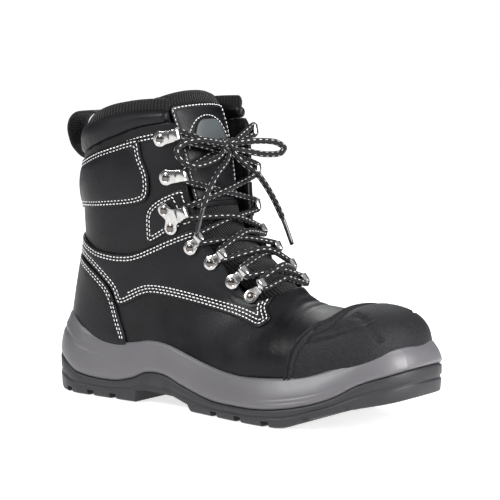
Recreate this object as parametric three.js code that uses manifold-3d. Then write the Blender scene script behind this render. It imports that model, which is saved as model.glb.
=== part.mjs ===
// A black lace-up safety boot for the right foot, with a zip on its inner side.
// Millimetres. The toe points along +X, +Y is the inner (zip) side, +Z is up, and the floor is Z = 0.
// X = 0 is the rear end of the sole. Each piece is one closed body, 0.3 mm clear of the next.
import * as THREE from "three";
import Module from "manifold-3d";

const wasm = await Module();
wasm.setup();

// Driving sizes
const LENGTH = 312;
const BALL = 114;
const INSTEP = 86;
const COLLAR = 210;
const WALL = 3;
const GAP = 0.3;
const LACE = 4.4;
const METAL = 1.2;
const HOOK = 11;
const SLIDER = 10;
const BEVEL = 1.2;
const INSOLE = 4.5;
const ORIGIN_X = 0.17 * LENGTH;

// Tables: the first list names the columns, each later list is one row
function table(names, rows) {
  return rows.map((row) => Object.fromEntries(names.map((name, k) => [name, row[k]])));
}

// Every column of a table at one place, on a smooth curve through its rows
function read(rows, at) {
  const last = rows.length - 1;
  let i = 0;
  while (i < last - 1 && at > rows[i + 1].at) {
    i += 1;
  }
  const here = rows[i];
  const next = rows[i + 1];
  const before = rows[Math.max(0, i - 1)];
  const after = rows[Math.min(last, i + 2)];
  const span = next.at - here.at;
  const t = Math.min(1, Math.max(0, (at - here.at) / span));
  const value = {};
  for (const name of Object.keys(here)) {
    const enter = ((next[name] - before[name]) / (next.at - before.at)) * span;
    const leave = ((after[name] - here[name]) / (after.at - here.at)) * span;
    const bend = 2 * (here[name] - next[name]) + enter + leave;
    const lean = 3 * (next[name] - here[name]) - 2 * enter - leave;
    value[name] = here[name] + t * (enter + t * (lean + t * bend));
  }
  return value;
}

// A closed solid from loose triangles whose corners meet
function solidOf(triangles) {
  const corners = [];
  const index = new Map();
  const faces = [];
  for (const triangle of triangles) {
    const ids = triangle.map((p) => {
      const key = p.map((value) => Math.round(value * 1e4)).join();
      if (!index.has(key)) {
        index.set(key, corners.length / 3);
        corners.push(...p);
      }
      return index.get(key);
    });
    if (new Set(ids).size === 3) {
      faces.push(...ids);
    }
  }
  return new wasm.Manifold(
    new wasm.Mesh({
      numProp: 3,
      vertProperties: new Float32Array(corners),
      triVerts: new Uint32Array(faces),
    }),
  );
}

// The same, turned the right way out when its triangles face inwards
function closed(triangles) {
  const solid = solidOf(triangles);
  return solid.volume() < 0 ? solidOf(triangles.map(([a, b, c]) => [a, c, b])) : solid;
}

// A solid through closed rings of the same number of corners, with flat ends
function loft(rings) {
  const triangles = [];
  const count = rings[0].length;
  for (let r = 0; r + 1 < rings.length; r += 1) {
    for (let k = 0; k < count; k += 1) {
      const n = (k + 1) % count;
      triangles.push([rings[r][k], rings[r][n], rings[r + 1][n]]);
      triangles.push([rings[r][k], rings[r + 1][n], rings[r + 1][k]]);
    }
  }
  for (const [ring, turned] of [[rings[0], true], [rings[rings.length - 1], false]]) {
    const middle = [0, 1, 2].map((c) => ring.reduce((sum, p) => sum + p[c], 0) / count);
    for (let k = 0; k < count; k += 1) {
      const n = (k + 1) % count;
      triangles.push(turned ? [middle, ring[n], ring[k]] : [middle, ring[k], ring[n]]);
    }
  }
  return closed(triangles);
}

// A flat outline carried straight from one level to another; place gives the x, y, z of (u, v, level)
function prism(outline, low, high, place) {
  const flat = outline.map(([u, v]) => new THREE.Vector2(u, v));
  const loop = THREE.ShapeUtils.isClockWise(flat) ? flat.reverse() : flat;
  const at = (k, level) => place([loop[k].x, loop[k].y, level]);
  const triangles = [];
  for (const [a, b, c] of THREE.ShapeUtils.triangulateShape(loop, [])) {
    triangles.push([at(a, high), at(b, high), at(c, high)]);
    triangles.push([at(a, low), at(c, low), at(b, low)]);
  }
  for (let k = 0; k < loop.length; k += 1) {
    const n = (k + 1) % loop.length;
    triangles.push([at(k, low), at(n, low), at(n, high)]);
    triangles.push([at(k, low), at(n, high), at(k, high)]);
  }
  return closed(triangles);
}

// Vectors
const add = (a, b, k = 1) => a.map((value, c) => value + k * b[c]);
const dot = (a, b) => a.reduce((sum, value, c) => sum + value * b[c], 0);
const cross = (a, b) => [
  a[1] * b[2] - a[2] * b[1],
  a[2] * b[0] - a[0] * b[2],
  a[0] * b[1] - a[1] * b[0],
];
const unit = (a) => a.map((value) => value / Math.hypot(...a));
const middleOf = (a, b) => add(a, add(b, a, -1), 0.5);

// The last: sections that fan from the level collar, round the instep, to the upright toe.
// Each section runs from a back point to a front point, and bulges to the two sides.
// x is a share of LENGTH, widths are shares of BALL, z is a share of the size named with the rows.
const SECTION = ["frontX", "frontZ", "backX", "backZ", "lateral", "medial", "widest", "blunt", "square", "ridge"];
const SHAFT_ROWS = table(SECTION, [
  [0.462, 1.14, 0.1, 1.02, 0.386, 0.39, 0.42, 4.5, 2.1, 0.02],
  [0.467, 1.0, 0.09, 0.9, 0.384, 0.388, 0.42, 4.5, 2.1, 0.02],
  [0.476, 0.87, 0.077, 0.77, 0.378, 0.38, 0.42, 4.5, 2.1, 0.02],
  [0.481, 0.735, 0.075, 0.65, 0.368, 0.365, 0.42, 4.3, 2.1, 0.02],
  [0.486, 0.645, 0.075, 0.54, 0.355, 0.35, 0.42, 4.1, 2.1, 0.02],
]);
const FOOT_ROWS = table(SECTION, [
  [0.504, 1.43, 0.058, 1.08, 0.333, 0.328, 0.42, 3.9, 2.1, 0.015],
  [0.549, 1.32, 0.038, 0.78, 0.322, 0.316, 0.42, 3.4, 2.15, 0.015],
  [0.601, 1.19, 0.024, 0.48, 0.315, 0.302, 0.42, 2.9, 2.3, 0.012],
  [0.651, 1.06, 0.036, 0.22, 0.315, 0.292, 0.42, 2.5, 2.6, 0.01],
  [0.686, 0.965, 0.22, 0.16, 0.327, 0.276, 0.44, 2.35, 2.9, 0.008],
  [0.724, 0.9, 0.4, 0.13, 0.37, 0.305, 0.46, 2.3, 3.0, 0.008],
  [0.769, 0.875, 0.58, 0.1, 0.415, 0.378, 0.46, 2.3, 3.0, 0.01],
  [0.814, 0.885, 0.74, 0.12, 0.412, 0.415, 0.46, 2.3, 3.0, 0.012],
  [0.859, 0.915, 0.84, 0.22, 0.36, 0.393, 0.46, 2.4, 3.0, 0.015],
]);
const SECTIONS = [...SHAFT_ROWS, ...FOOT_ROWS].map((row, k, all) => {
  const height = k < SHAFT_ROWS.length ? COLLAR : INSTEP;
  return {
    at: k / (all.length - 1),
    frontX: row.frontX * LENGTH,
    frontZ: row.frontZ * height,
    backX: row.backX * LENGTH,
    backZ: row.backZ * height,
    lateral: row.lateral * BALL,
    medial: row.medial * BALL,
    widest: row.widest,
    blunt: row.blunt,
    square: row.square,
    ridge: row.ridge * BALL,
  };
});
const TOE_TIP = 0.974 * LENGTH;
const TOE_PLAN = 2.2;
const TOE_SIDE = 3.4;
const TOE_SHIFT = 0.02 * BALL;

// One section: along is 0 at the collar, 1 at the last upright section and 2 at the toe tip
function sectionAt(along) {
  const section = read(SECTIONS, Math.min(1, along));
  if (along <= 1) {
    return section;
  }
  const turn = ((along - 1) * Math.PI) / 2;
  const narrow = Math.cos(turn) ** (2 / TOE_PLAN);
  const low = Math.cos(turn) ** (2 / TOE_SIDE);
  const reach = Math.sin(turn);
  const middle = section.backZ + section.widest * (section.frontZ - section.backZ);
  return {
    ...section,
    frontX: section.frontX + (TOE_TIP - section.frontX) * reach,
    backX: section.backX + (TOE_TIP - section.backX) * reach,
    frontZ: middle + (section.frontZ - middle) * low,
    backZ: middle + (section.backZ - middle) * low,
    lateral: section.lateral * narrow,
    medial: section.medial * narrow,
    ridge: section.ridge * narrow + TOE_SHIFT * reach,
  };
}

// A point of the last: around is 0 at the front, 0.25 lateral, 0.5 at the back, 0.75 medial
function lastPoint(along, around) {
  const s = sectionAt(along);
  const c = Math.cos(2 * Math.PI * around);
  const w = Math.sin(2 * Math.PI * around);
  const power = 2 / (c > 0 ? s.blunt : s.square);
  const reach = Math.abs(c) ** power;
  const share = c > 0 ? s.widest + (1 - s.widest) * reach : s.widest * (1 - reach);
  const side = Math.abs(w) ** power;
  const y = w > 0 ? -s.lateral * side : s.medial * side;
  const lean = s.ridge * share;
  return [s.backX + share * (s.frontX - s.backX), y + lean, s.backZ + share * (s.frontZ - s.backZ)];
}

// The outward direction of the last at one place, and the directions up and across it
function lastFrame(along, around) {
  const step = 0.004;
  const a = Math.min(1.985, Math.max(0.004, along));
  const up = add(lastPoint(a - step, around), lastPoint(a + step, around), -1);
  const across = add(lastPoint(a, around + step), lastPoint(a, around - step), -1);
  const out = unit(cross(up, across));
  return { point: lastPoint(along, around), out, up: unit(up), across: unit(across) };
}

function offsetPoint(along, around, offset) {
  const frame = lastFrame(along, around);
  return add(frame.point, frame.out, offset);
}

// The whole last as a closed solid, moved out by an offset
function lastSolid(offset, rings = 22, corners = 26) {
  const lines = [];
  for (let r = 0; r < rings; r += 1) {
    const t = r / (rings - 1);
    const along = t < 0.72 ? t / 0.72 : 1 + Math.sin(((t - 0.72) / 0.28) * 1.45) / Math.sin(1.45) * 0.975;
    const line = [];
    for (let k = 0; k < corners; k += 1) {
      line.push(offsetPoint(along, k / corners, offset));
    }
    lines.push(line);
  }
  return loft(lines);
}

// The place on one side of the last that lies at x and z
function placeOn(x, z, side) {
  const start = side < 0 ? 0.25 : 0.75;
  let best = { miss: Infinity };
  for (let along = 0.02; along < 1.9; along += 0.06) {
    for (let swing = -0.23; swing < 0.24; swing += 0.05) {
      const p = lastPoint(along, start + swing);
      const miss = Math.hypot(p[0] - x, p[2] - z);
      if (miss < best.miss) {
        best = { miss, along, around: start + swing };
      }
    }
  }
  for (let reach = 0.05; reach > 0.0002; reach *= 0.6) {
    for (const [da, db] of [[1, 0], [-1, 0], [0, 1], [0, -1], [1, 1], [-1, -1], [1, -1], [-1, 1]]) {
      const along = best.along + da * reach;
      const around = best.around + db * reach * 0.6;
      const p = lastPoint(along, around);
      const miss = Math.hypot(p[0] - x, p[2] - z);
      if (miss < best.miss) {
        best = { miss, along, around };
      }
    }
  }
  return best;
}

// A flat outline in x and z, carried straight across the boot between two y
function sidePrism(outline, fromY, toY) {
  return prism(outline, fromY, toY, ([x, z, y]) => [x, y, z]);
}

// An outline given in shares of LENGTH and INSTEP
function sideOutline(rows) {
  return rows.map(([x, z]) => [x * LENGTH, z * INSTEP]);
}

// The sole's plan: lateral and medial half widths as shares of BALL, along shares of LENGTH
const PLAN_ROWS = table(["at", "lateral", "medial"], [
  [0.0, 0.355, 0.355],
  [0.13, 0.352, 0.352],
  [0.24, 0.358, 0.342],
  [0.36, 0.366, 0.328],
  [0.48, 0.405, 0.335],
  [0.6, 0.465, 0.405],
  [0.7, 0.5, 0.485],
  [0.8, 0.487, 0.505],
  [0.88, 0.462, 0.49],
  [1.0, 0.43, 0.46],
]);
const HEEL_ROUND = 0.13;
const TOE_ROUND = 0.64;
const TOE_POWER = 2.9;

// The sole's side lines, as shares of INSTEP
const SIDE_ROWS = table(["at", "rim", "joint", "tread", "lean"], [
  [0.0, 0.69, 0.32, 0.04, 0.093],
  [0.055, 0.655, 0.28, 0.0, 0.088],
  [0.12, 0.565, 0.18, 0.0, 0.07],
  [0.225, 0.48, 0.155, 0.0, 0.049],
  [0.29, 0.5, 0.2, 0.0, 0.044],
  [0.33, 0.525, 0.26, 0.0, 0.044],
  [0.385, 0.515, 0.265, 0.0, 0.044],
  [0.445, 0.46, 0.2, 0.0, 0.045],
  [0.53, 0.39, 0.13, 0.0, 0.049],
  [0.61, 0.357, 0.12, 0.0, 0.053],
  [0.69, 0.37, 0.13, 0.0, 0.063],
  [0.755, 0.395, 0.16, 0.012, 0.067],
  [0.815, 0.44, 0.21, 0.095, 0.065],
  [0.865, 0.5, 0.28, 0.15, 0.048],
  [0.915, 0.58, 0.385, 0.2, 0.044],
  [0.97, 0.65, 0.46, 0.24, 0.064],
  [1.0, 0.675, 0.5, 0.27, 0.081],
]);

// Half widths of the sole at a share of the length, closed round at the heel and the toe
function planAt(share) {
  const row = read(PLAN_ROWS, share);
  let close = 1;
  if (share < HEEL_ROUND) {
    close = Math.sqrt(1 - (1 - share / HEEL_ROUND) ** 2);
  }
  if (share > TOE_ROUND) {
    close = (1 - ((share - TOE_ROUND) / (1 - TOE_ROUND)) ** TOE_POWER) ** (1 / TOE_POWER);
  }
  const toe = Math.max(0, (share - TOE_ROUND) / (1 - TOE_ROUND));
  const shift = 0.028 * BALL * toe ** 2;
  return { lateral: -row.lateral * BALL * close + shift, medial: row.medial * BALL * close + shift };
}

// Places along the sole, closer together at the round ends
function soleStations(count) {
  const list = [];
  for (let k = 0; k <= count; k += 1) {
    const t = k / count;
    list.push(0.5 - 0.5 * Math.cos(Math.PI * t) + 0.02 * Math.sin(2 * Math.PI * t));
  }
  return list;
}

// A slice of the sole: levels run from the bottom up, each with a height and an inset
function soleSolid(levels, count = 22) {
  const shares = soleStations(count);
  const edge = (share, side) => [share * LENGTH, planAt(share)[side]];
  const point = (share, side, level) => {
    const near = 0.002;
    const a = edge(Math.max(0, share - near), side);
    const b = edge(Math.min(1, share + near), side);
    const run = Math.hypot(b[0] - a[0], b[1] - a[1]);
    const hand = side === "lateral" ? 1 : -1;
    const inset = level.inset(share);
    const end = share === 0 || share === 1;
    const inward = end ? [share === 0 ? 1 : -1, 0] : [(-hand * (b[1] - a[1])) / run, (hand * (b[0] - a[0])) / run];
    const p = edge(share, side);
    return [p[0] + inward[0] * inset, p[1] + inward[1] * inset, level.height(share)];
  };
  const rings = shares.map((share) => [
    ...levels.map((level) => point(share, "lateral", level)),
    ...levels.map((level) => point(share, "medial", level)).reverse(),
  ]);
  const size = levels.length;
  const triangles = [];
  for (let r = 0; r + 1 < rings.length; r += 1) {
    for (let k = 0; k < 2 * size; k += 1) {
      const n = (k + 1) % (2 * size);
      triangles.push([rings[r][k], rings[r + 1][n], rings[r][n]]);
      triangles.push([rings[r][k], rings[r + 1][k], rings[r + 1][n]]);
    }
  }
  return closed(triangles);
}

const sideAt = (share, name) => Math.max(0, read(SIDE_ROWS, share)[name]) * INSTEP;

// The footbed: the inside floor, as shares of INSTEP
const BED_ROWS = table(["at", "z"], [
  [0.0, 0.37],
  [0.2, 0.36],
  [0.4, 0.33],
  [0.58, 0.24],
  [0.72, 0.235],
  [0.85, 0.35],
  [0.93, 0.445],
  [1.0, 0.53],
]);
const bedAt = (share) => read(BED_ROWS, share).z * INSTEP;

// A block that fills everything between two heights that follow the footbed
function bedBlock(low, high) {
  const shares = [-0.1, 0, 0.1, 0.2, 0.3, 0.4, 0.5, 0.6, 0.68, 0.76, 0.84, 0.92, 1, 1.1];
  const rise = (share, lift) => (lift === null ? -0.2 * INSTEP : bedAt(share) + lift);
  const top = shares.map((share) => [share * LENGTH, high === null ? 2 * COLLAR : rise(share, high)]);
  const bottom = shares.map((share) => [share * LENGTH, rise(share, low)]).reverse();
  return sidePrism([...top, ...bottom], -BALL, BALL);
}

const outer = lastSolid(0);
const inner = lastSolid(-WALL, 16, 20);
const aroundUpper = lastSolid(GAP);

// Midsole: a foamed cup that leans in to the upper and rises round the heel and the toe
const between = (share, part) => sideAt(share, "joint") + part * (sideAt(share, "rim") - sideAt(share, "joint"));
const MIDSOLE_LEVELS = [
  { height: (s) => sideAt(s, "joint") + GAP, inset: () => BEVEL },
  { height: (s) => between(s, 0.3), inset: () => BEVEL / 3 },
  { height: (s) => between(s, 0.68), inset: (s) => 0.5 * sideAt(s, "lean") },
  { height: (s) => sideAt(s, "rim") - BEVEL, inset: (s) => sideAt(s, "lean") },
  { height: (s) => sideAt(s, "rim"), inset: (s) => sideAt(s, "lean") + BEVEL },
];
const midsole = soleSolid(MIDSOLE_LEVELS).subtract(aroundUpper.intersect(bedBlock(0, null)));

// The sole's room, a gap wider all round, that the overlays stop at
const soleRoom = soleSolid([
  { height: (s) => sideAt(s, "tread") - 1, inset: () => -1 },
  { height: (s) => sideAt(s, "joint"), inset: () => -1 },
  { height: (s) => between(s, 0.68), inset: (s) => 0.5 * sideAt(s, "lean") - 2 * GAP },
  { height: (s) => sideAt(s, "rim") - BEVEL, inset: (s) => sideAt(s, "lean") - 2 * GAP },
  { height: (s) => sideAt(s, "rim") + GAP, inset: (s) => sideAt(s, "lean") + BEVEL / 2 },
]);

// Outsole: a rubber tread plate with a bumper at the toe, a step at the heel and lugs
const TREAD_DEPTH = 5;
const OUTSOLE_LEVELS = [
  { height: (s) => sideAt(s, "tread"), inset: () => 2 * BEVEL },
  { height: (s) => sideAt(s, "tread") + 2 * BEVEL, inset: () => BEVEL / 2 },
  { height: (s) => sideAt(s, "joint") - 2 * BEVEL, inset: () => 0 },
  { height: (s) => sideAt(s, "joint"), inset: () => BEVEL },
];
let outsole = soleSolid(OUTSOLE_LEVELS);
// The arch: a hollow across the waist, from the heel breast to the front tread
const ARCH = sideOutline([[0.29, -0.1], [0.302, 0.1], [0.33, 0.115], [0.42, 0.105], [0.465, 0.06], [0.49, -0.1]]);
outsole = outsole.subtract(sidePrism(ARCH, -BALL, BALL));
// Grooves that part the lugs: x and width as shares of LENGTH, and how far in from each edge
const GROOVES = table(["x", "width", "length"], [
  [0.085, 0.02, 0.2],
  [0.155, 0.02, 0.2],
  [0.225, 0.02, 0.2],
  [0.545, 0.02, 0.26],
  [0.62, 0.02, 0.3],
  [0.7, 0.02, 0.32],
  [0.795, 0.02, 0.3],
  [0.885, 0.018, 0.24],
]);
for (const groove of GROOVES) {
  const plan = planAt(groove.x);
  const tread = sideAt(groove.x, "tread");
  for (const edge of [plan.lateral, plan.medial]) {
    const inward = edge < 0 ? 1 : -1;
    const half = (groove.width * LENGTH) / 2;
    const x = groove.x * LENGTH;
    const slant = 0.2 * groove.length * BALL;
    const inside = edge + inward * groove.length * BALL;
    const outside = edge - inward * 0.1 * BALL;
    const slot = [[x - half, outside], [x + half, outside], [x + half + slant, inside], [x - half + slant, inside]];
    outsole = outsole.subtract(prism(slot, tread - TREAD_DEPTH, tread + 0.8 * TREAD_DEPTH, (p) => p));
  }
}
// One channel down the middle of the front tread
const CHANNEL = [[0.54, -0.03], [0.8, -0.03], [0.8, 0.03], [0.54, 0.03]].map(([x, y]) => [x * LENGTH, y * BALL]);
outsole = outsole.subtract(prism(CHANNEL, -TREAD_DEPTH, TREAD_DEPTH / 2, (p) => p));

// Throat: the gap between the facings, as shares of LENGTH, COLLAR and BALL
const THROAT_ROWS = table(["at", "x", "z", "half", "middle"], [
  [0, 0.455, 1.2, 0.39, 0.015],
  [1, 0.462, 1.0, 0.372, 0.015],
  [2, 0.466, 0.94, 0.345, 0.015],
  [3, 0.472, 0.85, 0.335, 0.015],
  [4, 0.48, 0.72, 0.315, 0.015],
  [5, 0.487, 0.63, 0.28, 0.012],
  [6, 0.515, 0.565, 0.25, 0.01],
  [7, 0.57, 0.51, 0.235, 0.008],
  [8, 0.62, 0.455, 0.215, 0.006],
  [9, 0.648, 0.425, 0.19, 0.004],
  [10, 0.66, 0.41, 0.12, 0.004],
  [11, 0.663, 0.405, 0.02, 0.004],
]);
const throatRings = THROAT_ROWS.map((row, k) => {
  const before = THROAT_ROWS[Math.max(0, k - 1)];
  const after = THROAT_ROWS[Math.min(THROAT_ROWS.length - 1, k + 1)];
  const run = [(after.x - before.x) * LENGTH, 0, (after.z - before.z) * COLLAR];
  const out = unit([-run[2], 0, run[0]]);
  const middle = [row.x * LENGTH, row.middle * BALL, row.z * COLLAR];
  const half = row.half * BALL;
  const deep = 0.16 * BALL;
  return [[-half, deep * 2], [half, deep * 2], [half, -deep], [-half, -deep]].map(([y, n]) =>
    add([middle[0], middle[1] + y, middle[2]], out, n),
  );
});
const throat = loft(throatRings);

// The topline: the top of the padded roll, the roll's height and the lining's height above it,
// as shares of COLLAR, over shares of LENGTH
const TOPLINE_ROWS = table(["at", "z", "roll", "lining"], [
  [0.0, 0.925, 0.1, 0.01],
  [0.1, 0.932, 0.1, 0.012],
  [0.16, 0.95, 0.092, 0.03],
  [0.24, 0.975, 0.076, 0.036],
  [0.32, 0.993, 0.056, 0.036],
  [0.42, 1.0, 0.04, 0.036],
  [0.5, 1.0, 0.036, 0.036],
]);
const toplineAt = (x, name) => read(TOPLINE_ROWS, x / LENGTH)[name] * COLLAR;

// Everything above a line that runs under the topline: a share of the roll's height, and a lift
function aboveTopline(part, lift) {
  const shares = [-0.1, 0, 0.05, 0.1, 0.15, 0.2, 0.25, 0.3, 0.36, 0.42, 0.5, 0.9];
  const line = shares.map((share) => {
    const x = share * LENGTH;
    return [x, toplineAt(x, "z") - part * toplineAt(x, "roll") + lift];
  });
  return sidePrism([...line, [0.9 * LENGTH, 2 * COLLAR], [-0.1 * LENGTH, 2 * COLLAR]], -BALL, BALL);
}

// Upper: one hollow wall, open at the collar, at the throat and underneath
const upper = outer
  .subtract(inner)
  .subtract(throat)
  .subtract(aboveTopline(1, 0))
  .subtract(bedBlock(null, 0.5 * WALL));

// Insole: a plate on the footbed, inside the wall
const insole = lastSolid(-WALL - GAP, 16, 20).intersect(bedBlock(GAP, INSOLE));

// A layer of the last between two offsets, kept to the throat's edges
function layer(low, high) {
  return lastSolid(high).subtract(lastSolid(low)).subtract(outer).subtract(throat);
}

// An outline on the boot's side, in shares of LENGTH and COLLAR
function shaftOutline(rows) {
  return rows.map(([x, z]) => [x * LENGTH, z * COLLAR]);
}

const PANEL = 1.6;
const leatherLayer = layer(GAP, GAP + PANEL);

// Zip: a straight slot on the inner side, from the collar seam down to the counter
const ZIP_TOP = [0.3, 0.9];
const ZIP_FOOT = [0.275, 0.36];
const zipStrip = (half, extra) => {
  const rows = [[ZIP_TOP, half], [ZIP_TOP, -half], [ZIP_FOOT, -half], [ZIP_FOOT, half]];
  return rows.map(([[x, z], side], k) => [x * LENGTH + side, z * COLLAR + (k < 2 ? extra : -extra)]);
};
const ZIP_HALF = 7.7;
const zipSlot = sidePrism(zipStrip(ZIP_HALF + GAP, GAP), 0, BALL);
const zipFront = sidePrism(
  [[ZIP_TOP[0], 1], [0.6, 1], [0.6, ZIP_FOOT[1]], ZIP_FOOT].map(([x, z]) => [x * LENGTH, z * COLLAR]),
  0,
  BALL,
);

// Counter: the stiff leather that wraps the heel
const COUNTER = shaftOutline([
  [-0.1, 0.5],
  [0.07, 0.485],
  [0.15, 0.445],
  [0.215, 0.375],
  [0.245, 0.265],
  [0.26, 0.205],
  [0.262, 0.02],
  [-0.1, 0.02],
]);
const counter = leatherLayer.intersect(sidePrism(COUNTER, -BALL, BALL)).subtract(soleRoom);

// Quarter: the large lower panel, from the facings back round the heel
const QUARTER = shaftOutline([
  [-0.1, 0.545],
  [0.065, 0.56],
  [0.18, 0.51],
  [0.28, 0.505],
  [0.4, 0.575],
  [0.48, 0.61],
  [0.652, 0.61],
  [0.648, 0.42],
  [0.638, 0.365],
  [0.66, 0.33],
  [0.648, 0.305],
  [0.63, 0.3],
  [0.565, 0.325],
  [0.43, 0.363],
  [0.33, 0.373],
  [0.245, 0.325],
  [0.22, 0.383],
  [0.155, 0.455],
  [0.073, 0.497],
  [-0.1, 0.512],
]);
const quarter = leatherLayer.intersect(sidePrism(QUARTER, -BALL, BALL)).subtract(zipSlot);

// Ankle pad: the cushioned panel round the back of the shaft
const ANKLE_PAD = shaftOutline([
  [-0.1, 0.765],
  [0.08, 0.795],
  [0.205, 0.855],
  [0.3, 0.895],
  [0.32, 0.895],
  [0.328, 0.84],
  [0.345, 0.78],
  [0.345, 0.72],
  [0.33, 0.69],
  [0.28, 0.672],
  [0.135, 0.652],
  [-0.1, 0.635],
]);
const ANKLE = 2.8;
const anklePad = layer(GAP, ANKLE)
  .intersect(sidePrism(ANKLE_PAD, -BALL, BALL))
  .subtract(zipSlot)
  .subtract(zipFront)
  .subtract(aboveTopline(1, 0));

// Cleat patches: the small panels under the lowest hooks, one on each side
const CLEAT_PATCH = shaftOutline([
  [0.6, 0.745],
  [0.45, 0.742],
  [0.375, 0.705],
  [0.338, 0.66],
  [0.332, 0.6],
  [0.337, 0.55],
  [0.4, 0.595],
  [0.47, 0.63],
  [0.6, 0.65],
]);
const CLEAT_LAYER = 1;
const cleatLayer = layer(GAP, GAP + CLEAT_LAYER);
const cleatPatches = [-1, 1].map((side) => cleatLayer.intersect(sidePrism(CLEAT_PATCH, 0, side * BALL)));

// Toe cap: a moulded cover with a raised bead at its rear edge
const CAP_EDGE = [
  [0.735, 0.1],
  [0.742, 0.42],
  [0.755, 0.63],
  [0.785, 0.785],
  [0.82, 0.87],
  [0.83, 1.2],
];
const capOutline = (from, to) => [
  ...sideOutline(CAP_EDGE).map(([x, z]) => [x + from, z]),
  ...sideOutline(CAP_EDGE).map(([x, z]) => [x + to, z]).reverse(),
];
const capShell = (low, high) => lastSolid(high).subtract(lastSolid(low)).subtract(soleRoom);
const CAP = 2.3;
const BEAD = 0.9;
const capBody = capShell(GAP, CAP).intersect(sidePrism(capOutline(0, LENGTH), -BALL, BALL));
const capBead = capShell(GAP, CAP + BEAD).intersect(sidePrism(capOutline(0, 4.5 * BEAD), -BALL, BALL));
const toeCap = capBody.add(capBead);

// Collar: a padded roll on the wall's top edge, from one facing round the back to the other
const PAD = 11;
const ROLL_PROFILE = [
  [-0.7, 0.0],
  [0.02, 0.0],
  [0.2, 0.16],
  [0.26, 0.5],
  [0.16, 0.78],
  [-0.08, 0.96],
  [-0.4, 1.0],
  [-0.72, 0.94],
  [-0.92, 0.65],
  [-0.9, 0.18],
];
const ROLL_ENDS = [0.135, 0.865];
// A band along the topline; the profile holds how far out and how far up each corner stands,
// heights gives the band's foot and top at an x, and grow moves every corner outwards
function collarBand(profile, heights, grow) {
  const rings = [];
  const stations = 16;
  for (let k = 0; k <= stations; k += 1) {
    const around = ROLL_ENDS[0] + ((ROLL_ENDS[1] - ROLL_ENDS[0]) * k) / stations;
    let high = 0;
    let low = 0.5;
    for (let step = 0; step < 24; step += 1) {
      const along = (low + high) / 2;
      const p = lastPoint(along, around);
      if (p[2] > toplineAt(p[0], "z") - toplineAt(p[0], "roll")) {
        high = along;
      } else {
        low = along;
      }
    }
    const frame = lastFrame(low, around);
    const near = Math.min(1, Math.min(k, stations - k) / 4);
    const pad = PAD * (0.45 + 0.55 * near);
    const [foot, top] = heights(frame.point[0]);
    rings.push(
      profile.map(([out, up]) => {
        const thick = out < 0 ? out * pad : out * PAD;
        const round = Math.sign(out + 0.35) * grow;
        const level = foot + up * (top - foot) + Math.sign(up - 0.5) * grow;
        return add(add(frame.point, frame.out, thick + round), [0, 0, 1], level);
      }),
    );
  }
  return loft(rings);
}
const rollHeights = (x) => [0, toplineAt(x, "roll")];
const liningHeights = (x) => [toplineAt(x, "roll") + GAP, toplineAt(x, "roll") + toplineAt(x, "lining") + GAP];
const collar = collarBand(ROLL_PROFILE, rollHeights, 0).intersect(aboveTopline(1, GAP)).subtract(throat);

// Collar lining: the mesh band that stands above the roll, on its inner half
const LINING_PROFILE = [
  [-0.78, 0.0],
  [-0.26, 0.0],
  [-0.22, 0.4],
  [-0.36, 0.85],
  [-0.6, 1.0],
  [-0.8, 0.7],
];
const collarLining = collarBand(LINING_PROFILE, liningHeights, 0).subtract(throat);

// The collar's room, a gap wider all round, that the tongue stops at
const collarRoom = collarBand(ROLL_PROFILE, rollHeights, 2 * GAP).add(
  collarBand(LINING_PROFILE, liningHeights, 2 * GAP),
);

// Tongue: a padded sheet behind the throat, from above the collar down under the vamp.
// x is a share of LENGTH, z of COLLAR, and half, sag and thick are shares of BALL.
const TONGUE_ROWS = table(["at", "x", "z", "half", "sag", "thick", "middle"], [
  [0, 0.372, 1.062, 0.28, 0.07, 0.05, -0.02],
  [1, 0.38, 1.045, 0.33, 0.09, 0.08, -0.01],
  [2, 0.398, 0.975, 0.345, 0.11, 0.085, 0.01],
  [3, 0.416, 0.88, 0.345, 0.11, 0.07, 0.015],
  [4, 0.43, 0.77, 0.335, 0.1, 0.06, 0.015],
  [5, 0.444, 0.67, 0.31, 0.09, 0.055, 0.012],
  [6, 0.476, 0.588, 0.28, 0.085, 0.05, 0.01],
  [7, 0.533, 0.528, 0.26, 0.08, 0.045, 0.008],
  [8, 0.588, 0.475, 0.24, 0.075, 0.045, 0.006],
  [9, 0.638, 0.42, 0.22, 0.07, 0.04, 0.005],
  [10, 0.683, 0.372, 0.19, 0.06, 0.035, 0.005],
]);

// A point on the tongue's front: down counts rows from the top, across runs from -1 to 1
function tonguePoint(down, across, lift) {
  const row = read(TONGUE_ROWS, down);
  const a = read(TONGUE_ROWS, Math.max(0, down - 0.05));
  const b = read(TONGUE_ROWS, Math.min(10, down + 0.05));
  const out = unit([(a.z - b.z) * COLLAR, 0, (b.x - a.x) * LENGTH]);
  const middle = [row.x * LENGTH, (row.middle + across * row.half) * BALL, row.z * COLLAR];
  return add(middle, out, lift - row.sag * BALL * Math.abs(across) ** 2.2);
}

// A sheet that follows the tongue between two rows and two lifts
function tongueSheet(from, to, low, high, widthAt, rings = 11) {
  const list = [];
  for (let r = 0; r < rings; r += 1) {
    const t = r / (rings - 1);
    const down = from + (to - from) * t;
    const width = widthAt(t);
    const front = [];
    const back = [];
    for (let k = 0; k <= 6; k += 1) {
      const across = -1 + k / 3;
      const edge = 1 - 0.7 * Math.abs(across) ** 6;
      front.push(tonguePoint(down, across * width, high));
      back.push(tonguePoint(down, across * width, high - (high - low(down)) * edge));
    }
    list.push([...front, ...back.reverse()]);
  }
  return loft(list);
}
const tongueThick = (down) => -read(TONGUE_ROWS, down).thick * BALL;
const insideWall = lastSolid(-WALL - GAP, 16, 20);
const tongue = tongueSheet(0, 10, tongueThick, 0, () => 1)
  .intersect(insideWall)
  .subtract(collarRoom);

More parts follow.
